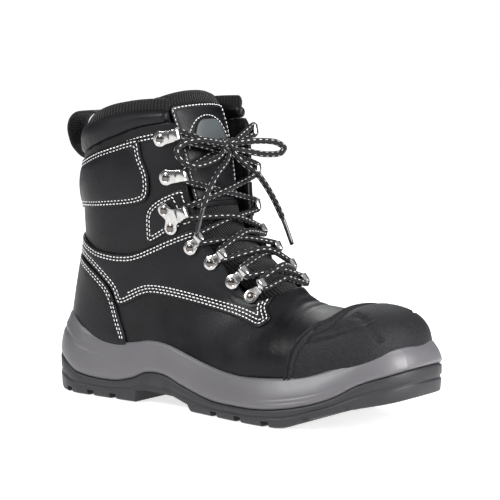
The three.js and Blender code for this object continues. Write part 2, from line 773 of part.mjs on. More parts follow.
// Tongue patch: the leather face of the tongue's top, with a bare half-round badge on it
const PATCH = 1.2;
const PATCH_LIFT = 2.5 * GAP;
const patch = tongueSheet(1.5, 5, () => PATCH_LIFT, PATCH_LIFT + PATCH, (t) => 0.78 - 0.1 * t, 5).subtract(collarRoom);
const badge = tongueSheet(
  2.2,
  3.1,
  () => PATCH_LIFT + PATCH + 2 * GAP,
  PATCH_LIFT + 2 * PATCH + 2 * GAP,
  (t) => 0.14 + 0.31 * Math.sqrt(1 - (1 - t) ** 2),
  6,
);

// The solid of a three.js geometry, its corners merged by place
function solidFrom(geometry) {
  const loose = geometry.index ? geometry.toNonIndexed() : geometry;
  const position = loose.getAttribute("position");
  const triangles = [];
  for (let k = 0; k < position.count; k += 3) {
    triangles.push([0, 1, 2].map((n) => [position.getX(k + n), position.getY(k + n), position.getZ(k + n)]));
  }
  return closed(triangles);
}

// A round cord through a smooth line of points
function cord(points, radius, steps, sides = 8) {
  const line = new THREE.CatmullRomCurve3(points.map((p) => new THREE.Vector3(...p)), false, "centripetal");
  const section = new THREE.Shape();
  for (let n = 0; n < sides; n += 1) {
    const turn = (2 * Math.PI * n) / sides;
    const corner = [radius * Math.cos(turn), radius * Math.sin(turn)];
    if (n === 0) {
      section.moveTo(...corner);
    } else {
      section.lineTo(...corner);
    }
  }
  section.closePath();
  return solidFrom(new THREE.ExtrudeGeometry(section, { steps, bevelEnabled: false, extrudePath: line }));
}

// Local axes at a place on the boot's side: forward points from the rivet to the mouth
function seat(x, z, toX, toZ, side, lift) {
  const spot = placeOn(x * LENGTH, z * COLLAR, side);
  const goal = placeOn(toX * LENGTH, toZ * COLLAR, side);
  const frame = lastFrame(spot.along, spot.around);
  const way = add(lastPoint(goal.along, goal.around), frame.point, -1);
  const forward = unit(add(way, frame.out, -dot(way, frame.out)));
  const across = cross(frame.out, forward);
  const origin = add(frame.point, frame.out, lift);
  const place = ([u, v, w]) => add(add(add(origin, forward, u), across, v), frame.out, w);
  return { place, reach: Math.hypot(...way) };
}

// Points given as shares of a size, the first value counted from a start
function shares(rows, size, start = 0) {
  return rows.map(([u, v]) => [start + u * size, v * size]);
}

// A round outline about a centre
function round(centre, radius, count) {
  const list = [];
  for (let n = 0; n < count; n += 1) {
    const turn = (2 * Math.PI * n) / count;
    list.push([centre[0] + radius * Math.cos(turn), centre[1] + radius * Math.sin(turn)]);
  }
  return list;
}

// A low round head standing on its seat
function rivet(place, u, v, radius) {
  const low = round([u, v], radius, 6).map((p) => place([...p, METAL / 2]));
  const high = round([u, v], 0.62 * radius, 6).map((p) => place([...p, 2.4 * METAL]));
  return loft([low, high]);
}

// A strip bent in its own length: the profile lies in forward and out, the width lies across
function bentStrip(place, profile, half) {
  return prism(profile, -half, half, ([u, w, v]) => place([u, v, w]));
}

// An open lace hook: a rounded plate with one or two rivets and a curl that opens backwards
function laceHook(place, reach, double) {
  const neck = reach / HOOK - 0.27;
  const tip = [[neck, -0.36], [neck, 0.36]];
  const plate = [[-0.5, -0.23], [-0.23, -0.5], [0.27, -0.47], ...tip, [0.27, 0.47], [-0.23, 0.5], [-0.5, 0.23]];
  const wide = [[-0.45, -0.77], [0, -1.05], [0.45, -0.77], ...tip, [0.45, 0.77], [0, 1.05], [-0.45, 0.77], [-0.18, 0]];
  const curl = [
    [-0.36, 0],
    [-0.05, 0.04],
    [0.13, 0.29],
    [-0.05, 0.58],
    [-0.64, 0.64],
    [-0.64, 0.53],
    [-0.13, 0.47],
    [-0.01, 0.3],
    [-0.15, 0.145],
    [-0.36, 0.11],
  ];
  const base = prism(shares(double ? wide : plate, HOOK), 0, METAL, place);
  const body = base.add(bentStrip(place, shares(curl, HOOK, reach), 0.36 * HOOK));
  const rows = double ? [-0.6, 0.6] : [0];
  return rows.reduce((sum, v) => sum.add(rivet(place, 0, v * HOOK, 0.3 * HOOK)), body);
}

// A closed lace loop: a riveted tongue of metal that rises into an eye across its end
function laceLoop(place, reach) {
  const neck = reach / HOOK - 0.18;
  const tip = [[neck, -0.27], [neck, 0.27]];
  const foot = [[-0.45, -0.2], [-0.2, -0.45], [0.2, -0.45], ...tip, [0.2, 0.45], [-0.2, 0.45], [-0.45, 0.2]];
  const eye = [[-0.36, 0], [0.22, 0], [0.42, 0.22], [0.29, 0.55], [-0.06, 0.57], [-0.36, 0.11]];
  const hole = round([reach + 0.13 * HOOK, 0.29 * HOOK], 0.19 * HOOK, 6);
  const bracket = bentStrip(place, shares(eye, HOOK, reach), 0.29 * HOOK).subtract(bentStrip(place, hole, HOOK));
  return prism(shares(foot, HOOK), 0, METAL, place).add(bracket).add(rivet(place, 0, 0, 0.29 * HOOK));
}

// Lace hardware from the top down: rivet and mouth, in shares of LENGTH and COLLAR, and the lift of
// each seat off the last on the two sides
const ON_QUARTER = GAP + PANEL;
const HARDWARE = table(["kind", "x", "z", "toX", "toZ", "lateral", "medial"], [
  ["hook", 0.381, 0.902, 0.432, 0.92, GAP, GAP],
  ["hook", 0.394, 0.774, 0.446, 0.786, GAP, GAP],
  ["cleat", 0.395, 0.636, 0.446, 0.665, 2 * GAP + CLEAT_LAYER, 2 * GAP + CLEAT_LAYER],
  ["loop", 0.448, 0.542, 0.468, 0.572, ON_QUARTER + 2.6 * GAP, ON_QUARTER + 2.6 * GAP],
  ["loop", 0.496, 0.494, 0.52, 0.52, ON_QUARTER + GAP, ON_QUARTER + 2.6 * GAP],
  ["loop", 0.549, 0.435, 0.572, 0.465, ON_QUARTER + 2.6 * GAP, ON_QUARTER + 2.6 * GAP],
  ["loop", 0.596, 0.389, 0.616, 0.418, ON_QUARTER + 2.6 * GAP, ON_QUARTER + 2.6 * GAP],
]);
// Each piece of hardware is cut clear of the layer that it is riveted to
const SEATS = {
  hook: aroundUpper,
  cleat: lastSolid(1.5 * GAP + CLEAT_LAYER),
  loop: lastSolid(GAP + ON_QUARTER),
};
const metalParts = {};
const mouths = [];
for (const [side, hand] of [[-1, "lateral"], [1, "medial"]]) {
  HARDWARE.forEach((row, k) => {
    const { place, reach } = seat(row.x, row.z, row.toX, row.toZ, side, side < 0 ? row.lateral : row.medial);
    const name = row.kind + "_" + (k + 1) + "_" + hand;
    const metal = row.kind === "loop" ? laceLoop(place, reach) : laceHook(place, reach, row.kind === "cleat");
    metalParts[name] = metal.subtract(SEATS[row.kind]);
    mouths.push({ k, side, place, reach });
  });
}

// Knot in front of the tongue, and its room, a gap wider, in shares of LENGTH, BALL and COLLAR
const bowPoints = (rows) => rows.map(([x, y, z]) => [x * LENGTH, y * BALL, z * COLLAR]);
const KNOT = bowPoints([[0.458, -0.035, 0.862], [0.468, 0.01, 0.875], [0.46, 0.06, 0.865]]);
const knot = cord(KNOT, 1.35 * LACE, 4);
const knotRoom = cord(KNOT.map(([x, y, z]) => [x, y + 3 * Math.sign(y) * GAP, z]), 1.35 * LACE + GAP, 6, 16);

// Laces between the two rows of hardware: one bar at the foot, a cross at each step up, and a
// strand from each top hook back to the knot
const laceAt = (k, side) => {
  const mouth = mouths.find((item) => item.k === k && item.side === side);
  const clear = HARDWARE[k].kind === "loop" ? 0.69 : 0.49;
  return mouth.place([mouth.reach + clear * HOOK, 0, 0.42 * HOOK]);
};
const laceMiddle = (a, b, lift) => {
  const middle = middleOf(a, b);
  let nearest = { miss: Infinity };
  for (let down = 0; down <= 10; down += 0.1) {
    const p = tonguePoint(down, 0, 0);
    const miss = Math.hypot(p[0] - middle[0], p[2] - middle[2]);
    if (miss < nearest.miss) {
      nearest = { miss, down };
    }
  }
  return tonguePoint(nearest.down, 0, lift);
};
const LACE_LIFT = 0.5 * LACE + 3;
let laceBars = null;
const addLace = (a, b, lift) => {
  const strand = cord([a, laceMiddle(a, b, lift), b], LACE / 2, 3);
  laceBars = laceBars ? laceBars.add(strand) : strand;
};
const foot = HARDWARE.length - 1;
addLace(laceAt(foot, -1), laceAt(foot, 1), LACE_LIFT);
for (let k = foot; k > 0; k -= 1) {
  addLace(laceAt(k, -1), laceAt(k - 1, 1), LACE_LIFT);
  addLace(laceAt(k, 1), laceAt(k - 1, -1), LACE_LIFT + 0.6 * LACE);
}
for (const side of [-1, 1]) {
  laceBars = laceBars.add(cord([laceAt(0, side), ...bowPoints([[0.455, 0.01 + 0.03 * side, 0.88]])], LACE / 2, 3));
}
laceBars = laceBars.subtract(knotRoom);
// The strands stop a gap short of every eye and hook
for (const { place, reach } of mouths) {
  const [back, front] = [reach - 0.7 * HOOK, reach + 0.42 * HOOK + GAP];
  const room = [[back, 0], [front, 0], [front, 0.7 * HOOK], [back, 0.7 * HOOK]];
  laceBars = laceBars.subtract(bentStrip(place, room, 0.36 * HOOK + GAP));
}

// Bow: two loops and two loose ends that come out of the knot
const strand = (rows, steps) => cord(bowPoints(rows), LACE / 2, steps).subtract(knotRoom);
const loopLeft = strand(
  [
    [0.468, -0.03, 0.884],
    [0.474, -0.1, 0.888],
    [0.47, -0.25, 0.9],
    [0.455, -0.37, 0.893],
    [0.452, -0.44, 0.87],
    [0.464, -0.44, 0.838],
    [0.477, -0.34, 0.817],
    [0.48, -0.17, 0.832],
    [0.474, -0.08, 0.85],
    [0.462, -0.03, 0.858],
  ],
  18,
);
const loopRight = strand(
  [
    [0.468, 0.05, 0.88],
    [0.478, 0.115, 0.884],
    [0.492, 0.24, 0.886],
    [0.505, 0.36, 0.88],
    [0.512, 0.43, 0.86],
    [0.508, 0.4, 0.84],
    [0.496, 0.28, 0.84],
    [0.48, 0.14, 0.854],
    [0.468, 0.06, 0.862],
  ],
  18,
);
const endLeft = strand(
  [
    [0.472, 0.0, 0.855],
    [0.482, -0.06, 0.825],
    [0.494, -0.19, 0.79],
    [0.498, -0.28, 0.745],
    [0.498, -0.345, 0.685],
    [0.49, -0.39, 0.59],
  ],
  11,
);
const endRight = strand(
  [
    [0.474, 0.03, 0.855],
    [0.486, 0.085, 0.818],
    [0.502, 0.2, 0.77],
    [0.515, 0.29, 0.7],
    [0.53, 0.35, 0.62],
    [0.552, 0.37, 0.53],
  ],
  11,
);

// Zip: a tape with its row of teeth, in the slot on the inner side
const TAPE = 0.9;
const TEETH = 2.2;
const tape = layer(GAP, GAP + TAPE).intersect(sidePrism(zipStrip(ZIP_HALF, 0), 0, BALL));
const teeth = layer(2 * GAP, TEETH).intersect(sidePrism(zipStrip(TEETH, -ZIP_HALF / 2), 0, BALL));
const zipTape = tape.add(teeth);

// Zip slider, parked at the top, with two ears and a pin for the tab
const slide = seat(0.299, 0.868, 0.296, 0.8, 1, TEETH + GAP);
const SLIDER_BODY = [
  [-0.7, -0.3],
  [-0.4, -0.5],
  [0.6, -0.36],
  [0.8, -0.24],
  [0.8, 0.24],
  [0.6, 0.36],
  [-0.4, 0.5],
  [-0.7, 0.3],
];
const SLIDER_EAR = [[0.14, 0.2], [0.7, 0.2], [0.64, 0.62], [0.22, 0.62]];
const sliderBody = prism(shares(SLIDER_BODY, SLIDER), 0, 0.24 * SLIDER, slide.place);
const upright = (outline, from, to) => prism(outline, from, to, ([u, w, v]) => slide.place([u, v, w]));
const ear = (from) => upright(shares(SLIDER_EAR, SLIDER), from * SLIDER, from * SLIDER + METAL);
const PIN = [0.43 * SLIDER, 0.46 * SLIDER];
const pin = upright(round(PIN, 0.07 * SLIDER, 8), -0.28 * SLIDER, 0.28 * SLIDER);
const zipSlider = sliderBody.add(ear(-0.34)).add(ear(0.22)).add(pin);

// Zip pull: a flat tab that hangs from the pin
const PULL_TAB = [
  [0.13, -0.17],
  [0.6, -0.32],
  [2.4, -0.36],
  [2.6, -0.2],
  [2.6, 0.2],
  [2.4, 0.36],
  [0.6, 0.32],
  [0.13, 0.17],
];
const pullEye = upright(round(PIN, 0.19 * SLIDER, 10), -0.17 * SLIDER, 0.17 * SLIDER).subtract(
  upright(round(PIN, 0.115 * SLIDER, 8), -0.24 * SLIDER, 0.24 * SLIDER),
);
const pullTab = prism(shares(PULL_TAB, SLIDER), -0.07 * SLIDER, 0.07 * SLIDER, ([u, v, w]) =>
  slide.place([PIN[0] + u, v, PIN[1] + w]),
);
const zipPull = pullEye.add(pullTab);

// Pull loop: a webbing strap at the back, from the collar's inside over to the shaft
const LOOP_PATH = [
  [0.13, 0.9],
  [0.13, 0.938],
  [0.119, 0.96],
  [0.09, 0.97],
  [0.045, 0.966],
  [0.024, 0.945],
  [0.018, 0.91],
  [0.03, 0.86],
  [0.055, 0.828],
  [0.078, 0.817],
];
const STRAP = 2;
const strapLine = shaftOutline(LOOP_PATH);
const strapBack = strapLine.map(([x, z], k) => {
  const a = strapLine[Math.max(0, k - 1)];
  const b = strapLine[Math.min(strapLine.length - 1, k + 1)];
  const run = Math.hypot(b[0] - a[0], b[1] - a[1]);
  return [x + (STRAP * (b[1] - a[1])) / run, z - (STRAP * (b[0] - a[0])) / run];
});
const strap = sidePrism([...strapLine, ...strapBack.reverse()], -0.095 * BALL, 0.095 * BALL);
const pullLoop = strap.subtract(collarRoom).subtract(aroundUpper);

const PARTS = {
  outsole,
  midsole,
  insole,
  upper,
  counter,
  quarter,
  ankle_pad: anklePad,
  cleat_patch_lateral: cleatPatches[0],
  cleat_patch_medial: cleatPatches[1],
  toe_cap: toeCap,
  collar,
  collar_lining: collarLining,
  pull_loop: pullLoop,
  tongue,
  tongue_patch: patch,
  tongue_badge: badge,
  lace_bars: laceBars,
  lace_knot: knot,
  lace_loop_left: loopLeft,
  lace_loop_right: loopRight,
  lace_end_left: endLeft,
  lace_end_right: endRight,
  zip_tape: zipTape,
  zip_slider: zipSlider,
  zip_pull: zipPull,
  ...metalParts,
};

// Colours and surfaces
const SKINS = {
  leather: { color: 0x17171a, roughness: 0.45, metalness: 0 },
  grain: { color: 0x141416, roughness: 0.7, metalness: 0 },
  lining: { color: 0x1c1c1f, roughness: 0.9, metalness: 0 },
  foam: { color: 0x2b2a2b, roughness: 0.55, metalness: 0 },
  rubber: { color: 0x151515, roughness: 0.75, metalness: 0 },
  nickel: { color: 0xc9c7c2, roughness: 0.25, metalness: 1 },
};
const SKIN_OF = [
  [/outsole/, "rubber"],
  [/midsole/, "foam"],
  [/insole|tongue$|zip_tape/, "lining"],
  [/toe_cap|tongue_badge/, "grain"],
  [/hook|cleat_\d|^loop_\d|zip_slider|zip_pull/, "nickel"],
  [/lace/, "lining"],
  [/./, "leather"],
];
const skinOf = (name) => SKIN_OF.find(([pattern]) => pattern.test(name))[1];

// The finished group, moved so that the origin is on the floor under the middle of the heel
const boot = new THREE.Group();
boot.name = "zip_safety_boot";
for (const [name, solid] of Object.entries(PARTS)) {
  const mesh = solid.getMesh();
  const geometry = new THREE.BufferGeometry();
  const positions = new Float32Array(mesh.numVert * 3);
  for (let v = 0; v < mesh.numVert; v += 1) {
    positions[3 * v] = mesh.vertProperties[v * mesh.numProp] - ORIGIN_X;
    positions[3 * v + 1] = mesh.vertProperties[v * mesh.numProp + 1];
    positions[3 * v + 2] = mesh.vertProperties[v * mesh.numProp + 2];
  }
  geometry.setAttribute("position", new THREE.BufferAttribute(positions, 3));
  geometry.setIndex(new THREE.BufferAttribute(new Uint32Array(mesh.triVerts), 1));
  geometry.computeVertexNormals();
  const skin = new THREE.MeshStandardMaterial(SKINS[skinOf(name)]);
  skin.name = skinOf(name);
  const piece = new THREE.Mesh(geometry, skin);
  piece.name = name;
  boot.add(piece);
}

export default boot;
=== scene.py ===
import math

import numpy as np
import bpy
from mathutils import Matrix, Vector
from mathutils.kdtree import KDTree


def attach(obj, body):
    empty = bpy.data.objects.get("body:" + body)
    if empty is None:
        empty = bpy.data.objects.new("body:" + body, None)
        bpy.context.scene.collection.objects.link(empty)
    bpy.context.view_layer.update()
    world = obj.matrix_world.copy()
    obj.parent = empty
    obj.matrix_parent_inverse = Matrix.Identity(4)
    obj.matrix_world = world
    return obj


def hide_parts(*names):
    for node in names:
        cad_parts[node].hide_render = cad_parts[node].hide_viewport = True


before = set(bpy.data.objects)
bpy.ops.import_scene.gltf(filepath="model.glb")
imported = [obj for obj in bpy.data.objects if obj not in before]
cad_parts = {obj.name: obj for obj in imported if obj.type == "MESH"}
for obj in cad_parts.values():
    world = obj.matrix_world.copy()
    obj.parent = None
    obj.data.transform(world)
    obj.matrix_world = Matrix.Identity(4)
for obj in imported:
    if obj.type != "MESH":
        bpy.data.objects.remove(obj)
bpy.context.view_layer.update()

# Camera, floor and light
# A long lens a little above the ground, from the outer side and towards the toe, over a pale
# studio floor, under a soft ceiling light, with a key light in front and others at toe and heel.
scene = bpy.context.scene
lens = bpy.data.cameras.new("camera")
lens.lens = 142.56
lens.sensor_width = 36
lens.clip_end = 20
camera = bpy.data.objects.new("camera", lens)
scene.collection.objects.link(camera)
camera.location = (0.9459, -1.1053, 0.2687)
aim = Vector((0.11296, 0.0, 0.111)) - camera.location
camera.rotation_euler = aim.to_track_quat("-Z", "Y").to_euler()
scene.camera = camera

bpy.ops.object.select_all(action="DESELECT")
bpy.ops.mesh.primitive_plane_add(size=12, location=(0, 0, -0.0006))
floor = bpy.context.object
floor.name = "studio_floor"
floor_paint = bpy.data.materials.new("pale_floor")
floor_paint.use_nodes = True
floor_shader = floor_paint.node_tree.nodes["Principled BSDF"]
floor_shader.inputs["Base Color"].default_value = (0.6, 0.6, 0.6, 1)
floor_shader.inputs["Emission Color"].default_value = (1, 1, 1, 1)
floor_shader.inputs["Emission Strength"].default_value = 0.74
floor_shader.inputs["Specular IOR Level"].default_value = 0.1
floor_shader.inputs["Roughness"].default_value = 0.7
floor.data.materials.append(floor_paint)

studio = bpy.data.worlds.new("studio")
studio.use_nodes = True
sky = studio.node_tree
sky.nodes["Background"].inputs["Color"].default_value = (0.9, 0.95, 1.0, 1)
sky.nodes["Background"].inputs["Strength"].default_value = 0.16
backdrop = sky.nodes.new("ShaderNodeBackground")
backdrop.inputs["Color"].default_value = (1, 1, 1, 1)
either = sky.nodes.new("ShaderNodeMixShader")
seen = sky.nodes.new("ShaderNodeLightPath")
sky.links.new(seen.outputs["Is Camera Ray"], either.inputs[0])
sky.links.new(sky.nodes["Background"].outputs[0], either.inputs[1])
sky.links.new(backdrop.outputs[0], either.inputs[2])
sky.links.new(either.outputs[0], sky.nodes["World Output"].inputs["Surface"])
scene.world = studio
scene.view_settings.view_transform = "Standard"
sun = bpy.data.lights.new("ceiling_light", "SUN")
sun.energy = 1.2
sun.angle = 1.9
ceiling = bpy.data.objects.new("ceiling_light", sun)
ceiling.rotation_euler = (0.2, 0.1, 0)
scene.collection.objects.link(ceiling)
BOOT_MIDDLE = (0.1, 0, 0.09)
for name, place, size, power in [
    ("key_light", (-0.5, -1.5, 1.2), 0.6, 34),
    ("toe_light", (1.35, -0.05, 0.6), 0.75, 34),
    ("rim_light", (-0.9, 1.2, 1.2), 1.0, 12),
]:
    lamp = bpy.data.lights.new(name, "AREA")
    lamp.size = size
    lamp.energy = power
    light = bpy.data.objects.new(name, lamp)
    light.location = place
    aim = Vector(BOOT_MIDDLE) - Vector(place)
    light.rotation_euler = aim.to_track_quat("-Z", "Y").to_euler()
    scene.collection.objects.link(light)

# The last
# The wooden foot shape that every leather piece is pulled over. Lengths are millimetres from the
# rear end of the sole; each row is one section from its back point to its front point.
LENGTH, BALL, INSTEP, COLLAR = 312.0, 114.0, 86.0, 210.0
WALL, GAP, LACE, HOOK = 3.0, 0.3, 4.4, 11.0
ORIGIN_X = 0.17 * LENGTH
# frontX, frontZ, backX, backZ, lateral, medial, widest, blunt, square, ridge
SHAFT_ROWS = [
    [0.462, 1.14, 0.1, 1.02, 0.386, 0.39, 0.42, 4.5, 2.1, 0.02],
    [0.467, 1.0, 0.09, 0.9, 0.384, 0.388, 0.42, 4.5, 2.1, 0.02],
    [0.476, 0.87, 0.077, 0.77, 0.378, 0.38, 0.42, 4.5, 2.1, 0.02],
    [0.481, 0.735, 0.075, 0.65, 0.368, 0.365, 0.42, 4.3, 2.1, 0.02],
    [0.486, 0.645, 0.075, 0.54, 0.355, 0.35, 0.42, 4.1, 2.1, 0.02],
]
FOOT_ROWS = [
    [0.504, 1.43, 0.058, 1.08, 0.333, 0.328, 0.42, 3.9, 2.1, 0.015],
    [0.549, 1.32, 0.038, 0.78, 0.322, 0.316, 0.42, 3.4, 2.15, 0.015],
    [0.601, 1.19, 0.024, 0.48, 0.315, 0.302, 0.42, 2.9, 2.3, 0.012],
    [0.651, 1.06, 0.036, 0.22, 0.315, 0.292, 0.42, 2.5, 2.6, 0.01],
    [0.686, 0.965, 0.22, 0.16, 0.327, 0.276, 0.44, 2.35, 2.9, 0.008],
    [0.724, 0.9, 0.4, 0.13, 0.37, 0.305, 0.46, 2.3, 3.0, 0.008],
    [0.769, 0.875, 0.58, 0.1, 0.415, 0.378, 0.46, 2.3, 3.0, 0.01],
    [0.814, 0.885, 0.74, 0.12, 0.412, 0.415, 0.46, 2.3, 3.0, 0.012],
    [0.859, 0.915, 0.84, 0.22, 0.36, 0.393, 0.46, 2.4, 3.0, 0.015],
]
TOE_TIP, TOE_PLAN, TOE_SIDE, TOE_SHIFT = 0.974 * LENGTH, 2.2, 3.4, 0.02 * BALL


def section_table():
    rows = []
    for high, group in ((COLLAR, SHAFT_ROWS), (INSTEP, FOOT_ROWS)):
        scale = np.array([LENGTH, high, LENGTH, high, BALL, BALL, 1, 1, 1, BALL])
        rows += [np.array(row) * scale for row in group]
    return np.array([[k / (len(rows) - 1), *row] for k, row in enumerate(rows)])


SECTIONS = section_table()


def curve(rows, at):
    """Every column of a table at places along its first column, on a smooth line through its rows"""
    rows = np.asarray(rows, float)
    at = np.atleast_1d(np.asarray(at, float))
    last = len(rows) - 1
    i = np.clip(np.searchsorted(rows[:, 0], at) - 1, 0, last - 1)
    here, there = rows[i], rows[i + 1]
    before, after = rows[np.maximum(0, i - 1)], rows[np.minimum(last, i + 2)]
    span = there[:, :1] - here[:, :1]
    t = np.clip((at[:, None] - here[:, :1]) / span, 0, 1)
    enter = (there - before) / (there[:, :1] - before[:, :1]) * span
    leave = (after - here) / (after[:, :1] - here[:, :1]) * span
    bend = 2 * (here - there) + enter + leave
    lean = 3 * (there - here) - 2 * enter - leave
    return here + t * (enter + t * (lean + t * bend))


def last_point(along, around):
    """Along is 0 at the collar, 1 at the last upright section, 2 at the toe tip; around is 0 in front"""
    along, around = np.broadcast_arrays(np.asarray(along, float), np.asarray(around, float))
    shape = along.shape
    along, around = along.ravel(), around.ravel()
    row = curve(SECTIONS, np.minimum(1, along))
    _, front_x, front_z, back_x, back_z, lateral, medial, widest, blunt, square, ridge = row.T
    turn = np.clip(along - 1, 0, 1) * math.pi / 2
    narrow, low, reach = np.cos(turn) ** (2 / TOE_PLAN), np.cos(turn) ** (2 / TOE_SIDE), np.sin(turn)
    middle = back_z + widest * (front_z - back_z)
    front_x = front_x + (TOE_TIP - front_x) * reach
    back_x = back_x + (TOE_TIP - back_x) * reach
    front_z = middle + (front_z - middle) * low
    back_z = middle + (back_z - middle) * low
    ridge = ridge * narrow + TOE_SHIFT * reach
    c, w = np.cos(2 * math.pi * around), np.sin(2 * math.pi * around)
    power = 2 / np.where(c > 0, blunt, square)
    bulge = np.abs(c) ** power
    share = np.where(c > 0, widest + (1 - widest) * bulge, widest * (1 - bulge))
    side = np.abs(w) ** power
    y = np.where(w > 0, -lateral, medial) * narrow * side + ridge * share
    x, z = back_x + share * (front_x - back_x), back_z + share * (front_z - back_z)
    return np.stack([x, y, z], axis=-1).reshape(*shape, 3)


def unit(v):
    return v / np.maximum(1e-9, np.linalg.norm(v, axis=-1, keepdims=True))


def last_frame(along, around, step=0.004):
    """Point, outward, upward and sideways directions on the last"""
    a = np.clip(along, step, 1.985)
    up = last_point(a - step, around) - last_point(a + step, around)
    across = last_point(a, np.asarray(around) + step) - last_point(a, np.asarray(around) - step)
    return last_point(along, around), unit(np.cross(up, across)), unit(up), unit(across)


class Skin:
    """A fine grid of the last's surface, which the pieces are cut from"""

    def __init__(self, alongs, corners):
        rows = len(alongs)
        grid_a, grid_r = np.meshgrid(alongs, np.arange(corners) / corners, indexing="ij")
        point, out, _, _ = last_frame(grid_a.ravel(), grid_r.ravel())
        self.point, self.out = point, out
        self.x, self.y, self.z = point.T
        self.along, self.around = grid_a.ravel(), grid_r.ravel()
        r, k = np.meshgrid(np.arange(rows - 1), np.arange(corners), indexing="ij")
        n = (k + 1) % corners
        quads = [(r + 1) * corners + k, r * corners + k, r * corners + n, (r + 1) * corners + n]
        self.quads = np.stack(quads, axis=-1).reshape(-1, 4)


def alongs_from(start, rows, toe_rows):
    straight = np.linspace(start, 1, rows, endpoint=False)
    return np.concatenate([straight, 1 + np.sin(np.linspace(0, 1, toe_rows) * math.pi / 2) * 0.9995])


coarse_skin = Skin(alongs_from(0.0, 170, 46), 232)
fine_skin = Skin(alongs_from(0.0, 330, 40), 330)


def crossings(skin, field):
    """Where a field changes sign on the edges of a skin: the kept quads, cut faces and cut edges"""
    inside = field < 0
    count = inside[skin.quads].sum(axis=1)
    whole = skin.quads[count == 4]
    partly = skin.quads[(count > 0) & (count < 4)]
    cuts, faces, joins = {}, [], []
    for quad in partly:
        face, ends = [], []
        for k in range(4):
            i, j = int(quad[k]), int(quad[(k + 1) % 4])
            if inside[i]:
                face.append(("at", i))
            if inside[i] != inside[j]:
                key = (min(i, j), max(i, j))
                if key not in cuts:
                    cuts[key] = field[key[0]] / (field[key[0]] - field[key[1]])
                face.append(("cut", key))
                ends.append(key)
        faces.append(face)
        if len(ends) == 2:
            joins.append(ends)
    return whole, faces, cuts, joins


def trimmed(skin, field):
    """The part of a skin where a field is below zero: faces, and where each corner comes from"""
    whole, faces, cuts, _ = crossings(skin, field)
    at_cuts = {i for face in faces for kind, i in face if kind == "at"}
    used = sorted(set(whole.ravel().tolist()) | at_cuts)
    number = {("at", i): n for n, i in enumerate(used)}
    start = used + [key[0] for key in cuts]
    end = used + [key[1] for key in cuts]
    share = [0.0] * len(used) + list(cuts.values())
    for n, key in enumerate(cuts):
        number[("cut", key)] = len(used) + n
    polygons = [[number[("at", int(i))] for i in quad] for quad in whole]
    polygons += [[number[corner] for corner in face] for face in faces if len(face) > 2]
    return polygons, np.array(start), np.array(end), np.array(share)


def taken(values, start, end, share):
    """Values of a skin at the corners of a trimmed part"""
    weight = share.reshape(-1, *([1] * (values.ndim - 1)))
    return values[start] * (1 - weight) + values[end] * weight


def mesh_object(name, corners, faces, materials, numbers=None, pair=None, origin=ORIGIN_X):
    """A smooth mesh from millimetres, with numbers per corner kept as attributes and a pair as a UV map"""
    mesh = bpy.data.meshes.new(name)
    place = (np.asarray(corners, float) - [origin, 0, 0]) / 1000
    mesh.from_pydata(place.tolist(), [], [list(map(int, face)) for face in faces])
    mesh.update()
    for label, values in (numbers or {}).items():
        layer = mesh.attributes.new(label, "FLOAT", "POINT")
        layer.data.foreach_set("value", np.asarray(values, np.float32))
    if pair is not None:
        uv = mesh.uv_layers.new(name="UVMap")
        at = np.zeros(len(mesh.loops), np.int32)
        mesh.loops.foreach_get("vertex_index", at)
        uv.data.foreach_set("uv", np.asarray(pair, np.float32)[at].ravel())
    piece = bpy.data.objects.new(name, mesh)
    scene.collection.objects.link(piece)
    for material in materials if isinstance(materials, list) else [materials]:
        mesh.materials.append(material)
    mesh.polygons.foreach_set("use_smooth", [True] * len(mesh.polygons))
    return piece


def ring_faces(rings, size):
    """The faces between rings of corners, each ring joined round to its start"""
    faces = []
    for r in range(rings - 1):
        for k in range(size):
            here, there = r * size + k, r * size + (k + 1) % size
            faces.append([here, there, there + size, here + size])
    return faces


def choose(*pieces):
    """Selects some pieces alone, the first of them active"""
    bpy.ops.object.select_all(action="DESELECT")
    for piece in pieces:
        piece.select_set(True)
    bpy.context.view_layer.objects.active = pieces[0]


def finished(piece, *modifiers):
    """Applies modifiers to a piece one after the other"""
    choose(piece)
    for kind, settings in modifiers:
        added = piece.modifiers.new(kind.lower(), kind)
        for key, value in settings.items():
            setattr(added, key, value)
        bpy.ops.object.modifier_apply(modifier=added.name)
    return piece


def walled(thickness, inner_material=0):
    """A wall grown inwards from a surface, in millimetres"""
    return "SOLIDIFY", {
        "thickness": thickness / 1000,
        "offset": -1,
        "use_even_offset": False,
        "use_rim": True,
        "material_offset": inner_material,
    }


def outline_field(skin, rows, tall, rounding=4):
    """Distance in millimetres from an outline in the side view, below zero inside it"""
    corners = np.array(rows, float) * [LENGTH, tall]
    return polygon_distance(skin.x, skin.z, closed_smooth(corners, rounding))


def walked_along(line):
    """The length from a line's start to each of its points"""
    return np.concatenate([[0], np.cumsum(np.linalg.norm(np.diff(line, axis=0), axis=1))])


def at_lengths(at, walked, values):
    """Values kept on a line's points, read at lengths along it"""
    return np.stack([np.interp(at, walked, values[:, c]) for c in range(3)], axis=-1)


def smooth_line(points, steps):
    """A smooth line through points; the first and the last only give its direction"""
    points = np.asarray(points, float)
    lines = []
    for k in range(1, len(points) - 2):
        a, b, c, d = points[k - 1 : k + 3]
        for t in np.arange(steps) / steps:
            left, right = (c - a) * 0.42, (d - b) * 0.42
            span = np.linalg.norm(c - b)
            left *= min(1, 1.3 * span / max(1e-6, np.linalg.norm(left)))
            right *= min(1, 1.3 * span / max(1e-6, np.linalg.norm(right)))
            lean, bend = 3 * (c - b) - 2 * left - right, 2 * (b - c) + left + right
            lines.append(b + t * (left + t * (lean + t * bend)))
    lines.append(points[-2])
    return np.array(lines)


def closed_smooth(points, steps):
    """A smooth line round a closed outline"""
    count = len(points)
    return smooth_line(np.array([points[(k - 1) % count] for k in range(count + 3)]), steps)[:-1]


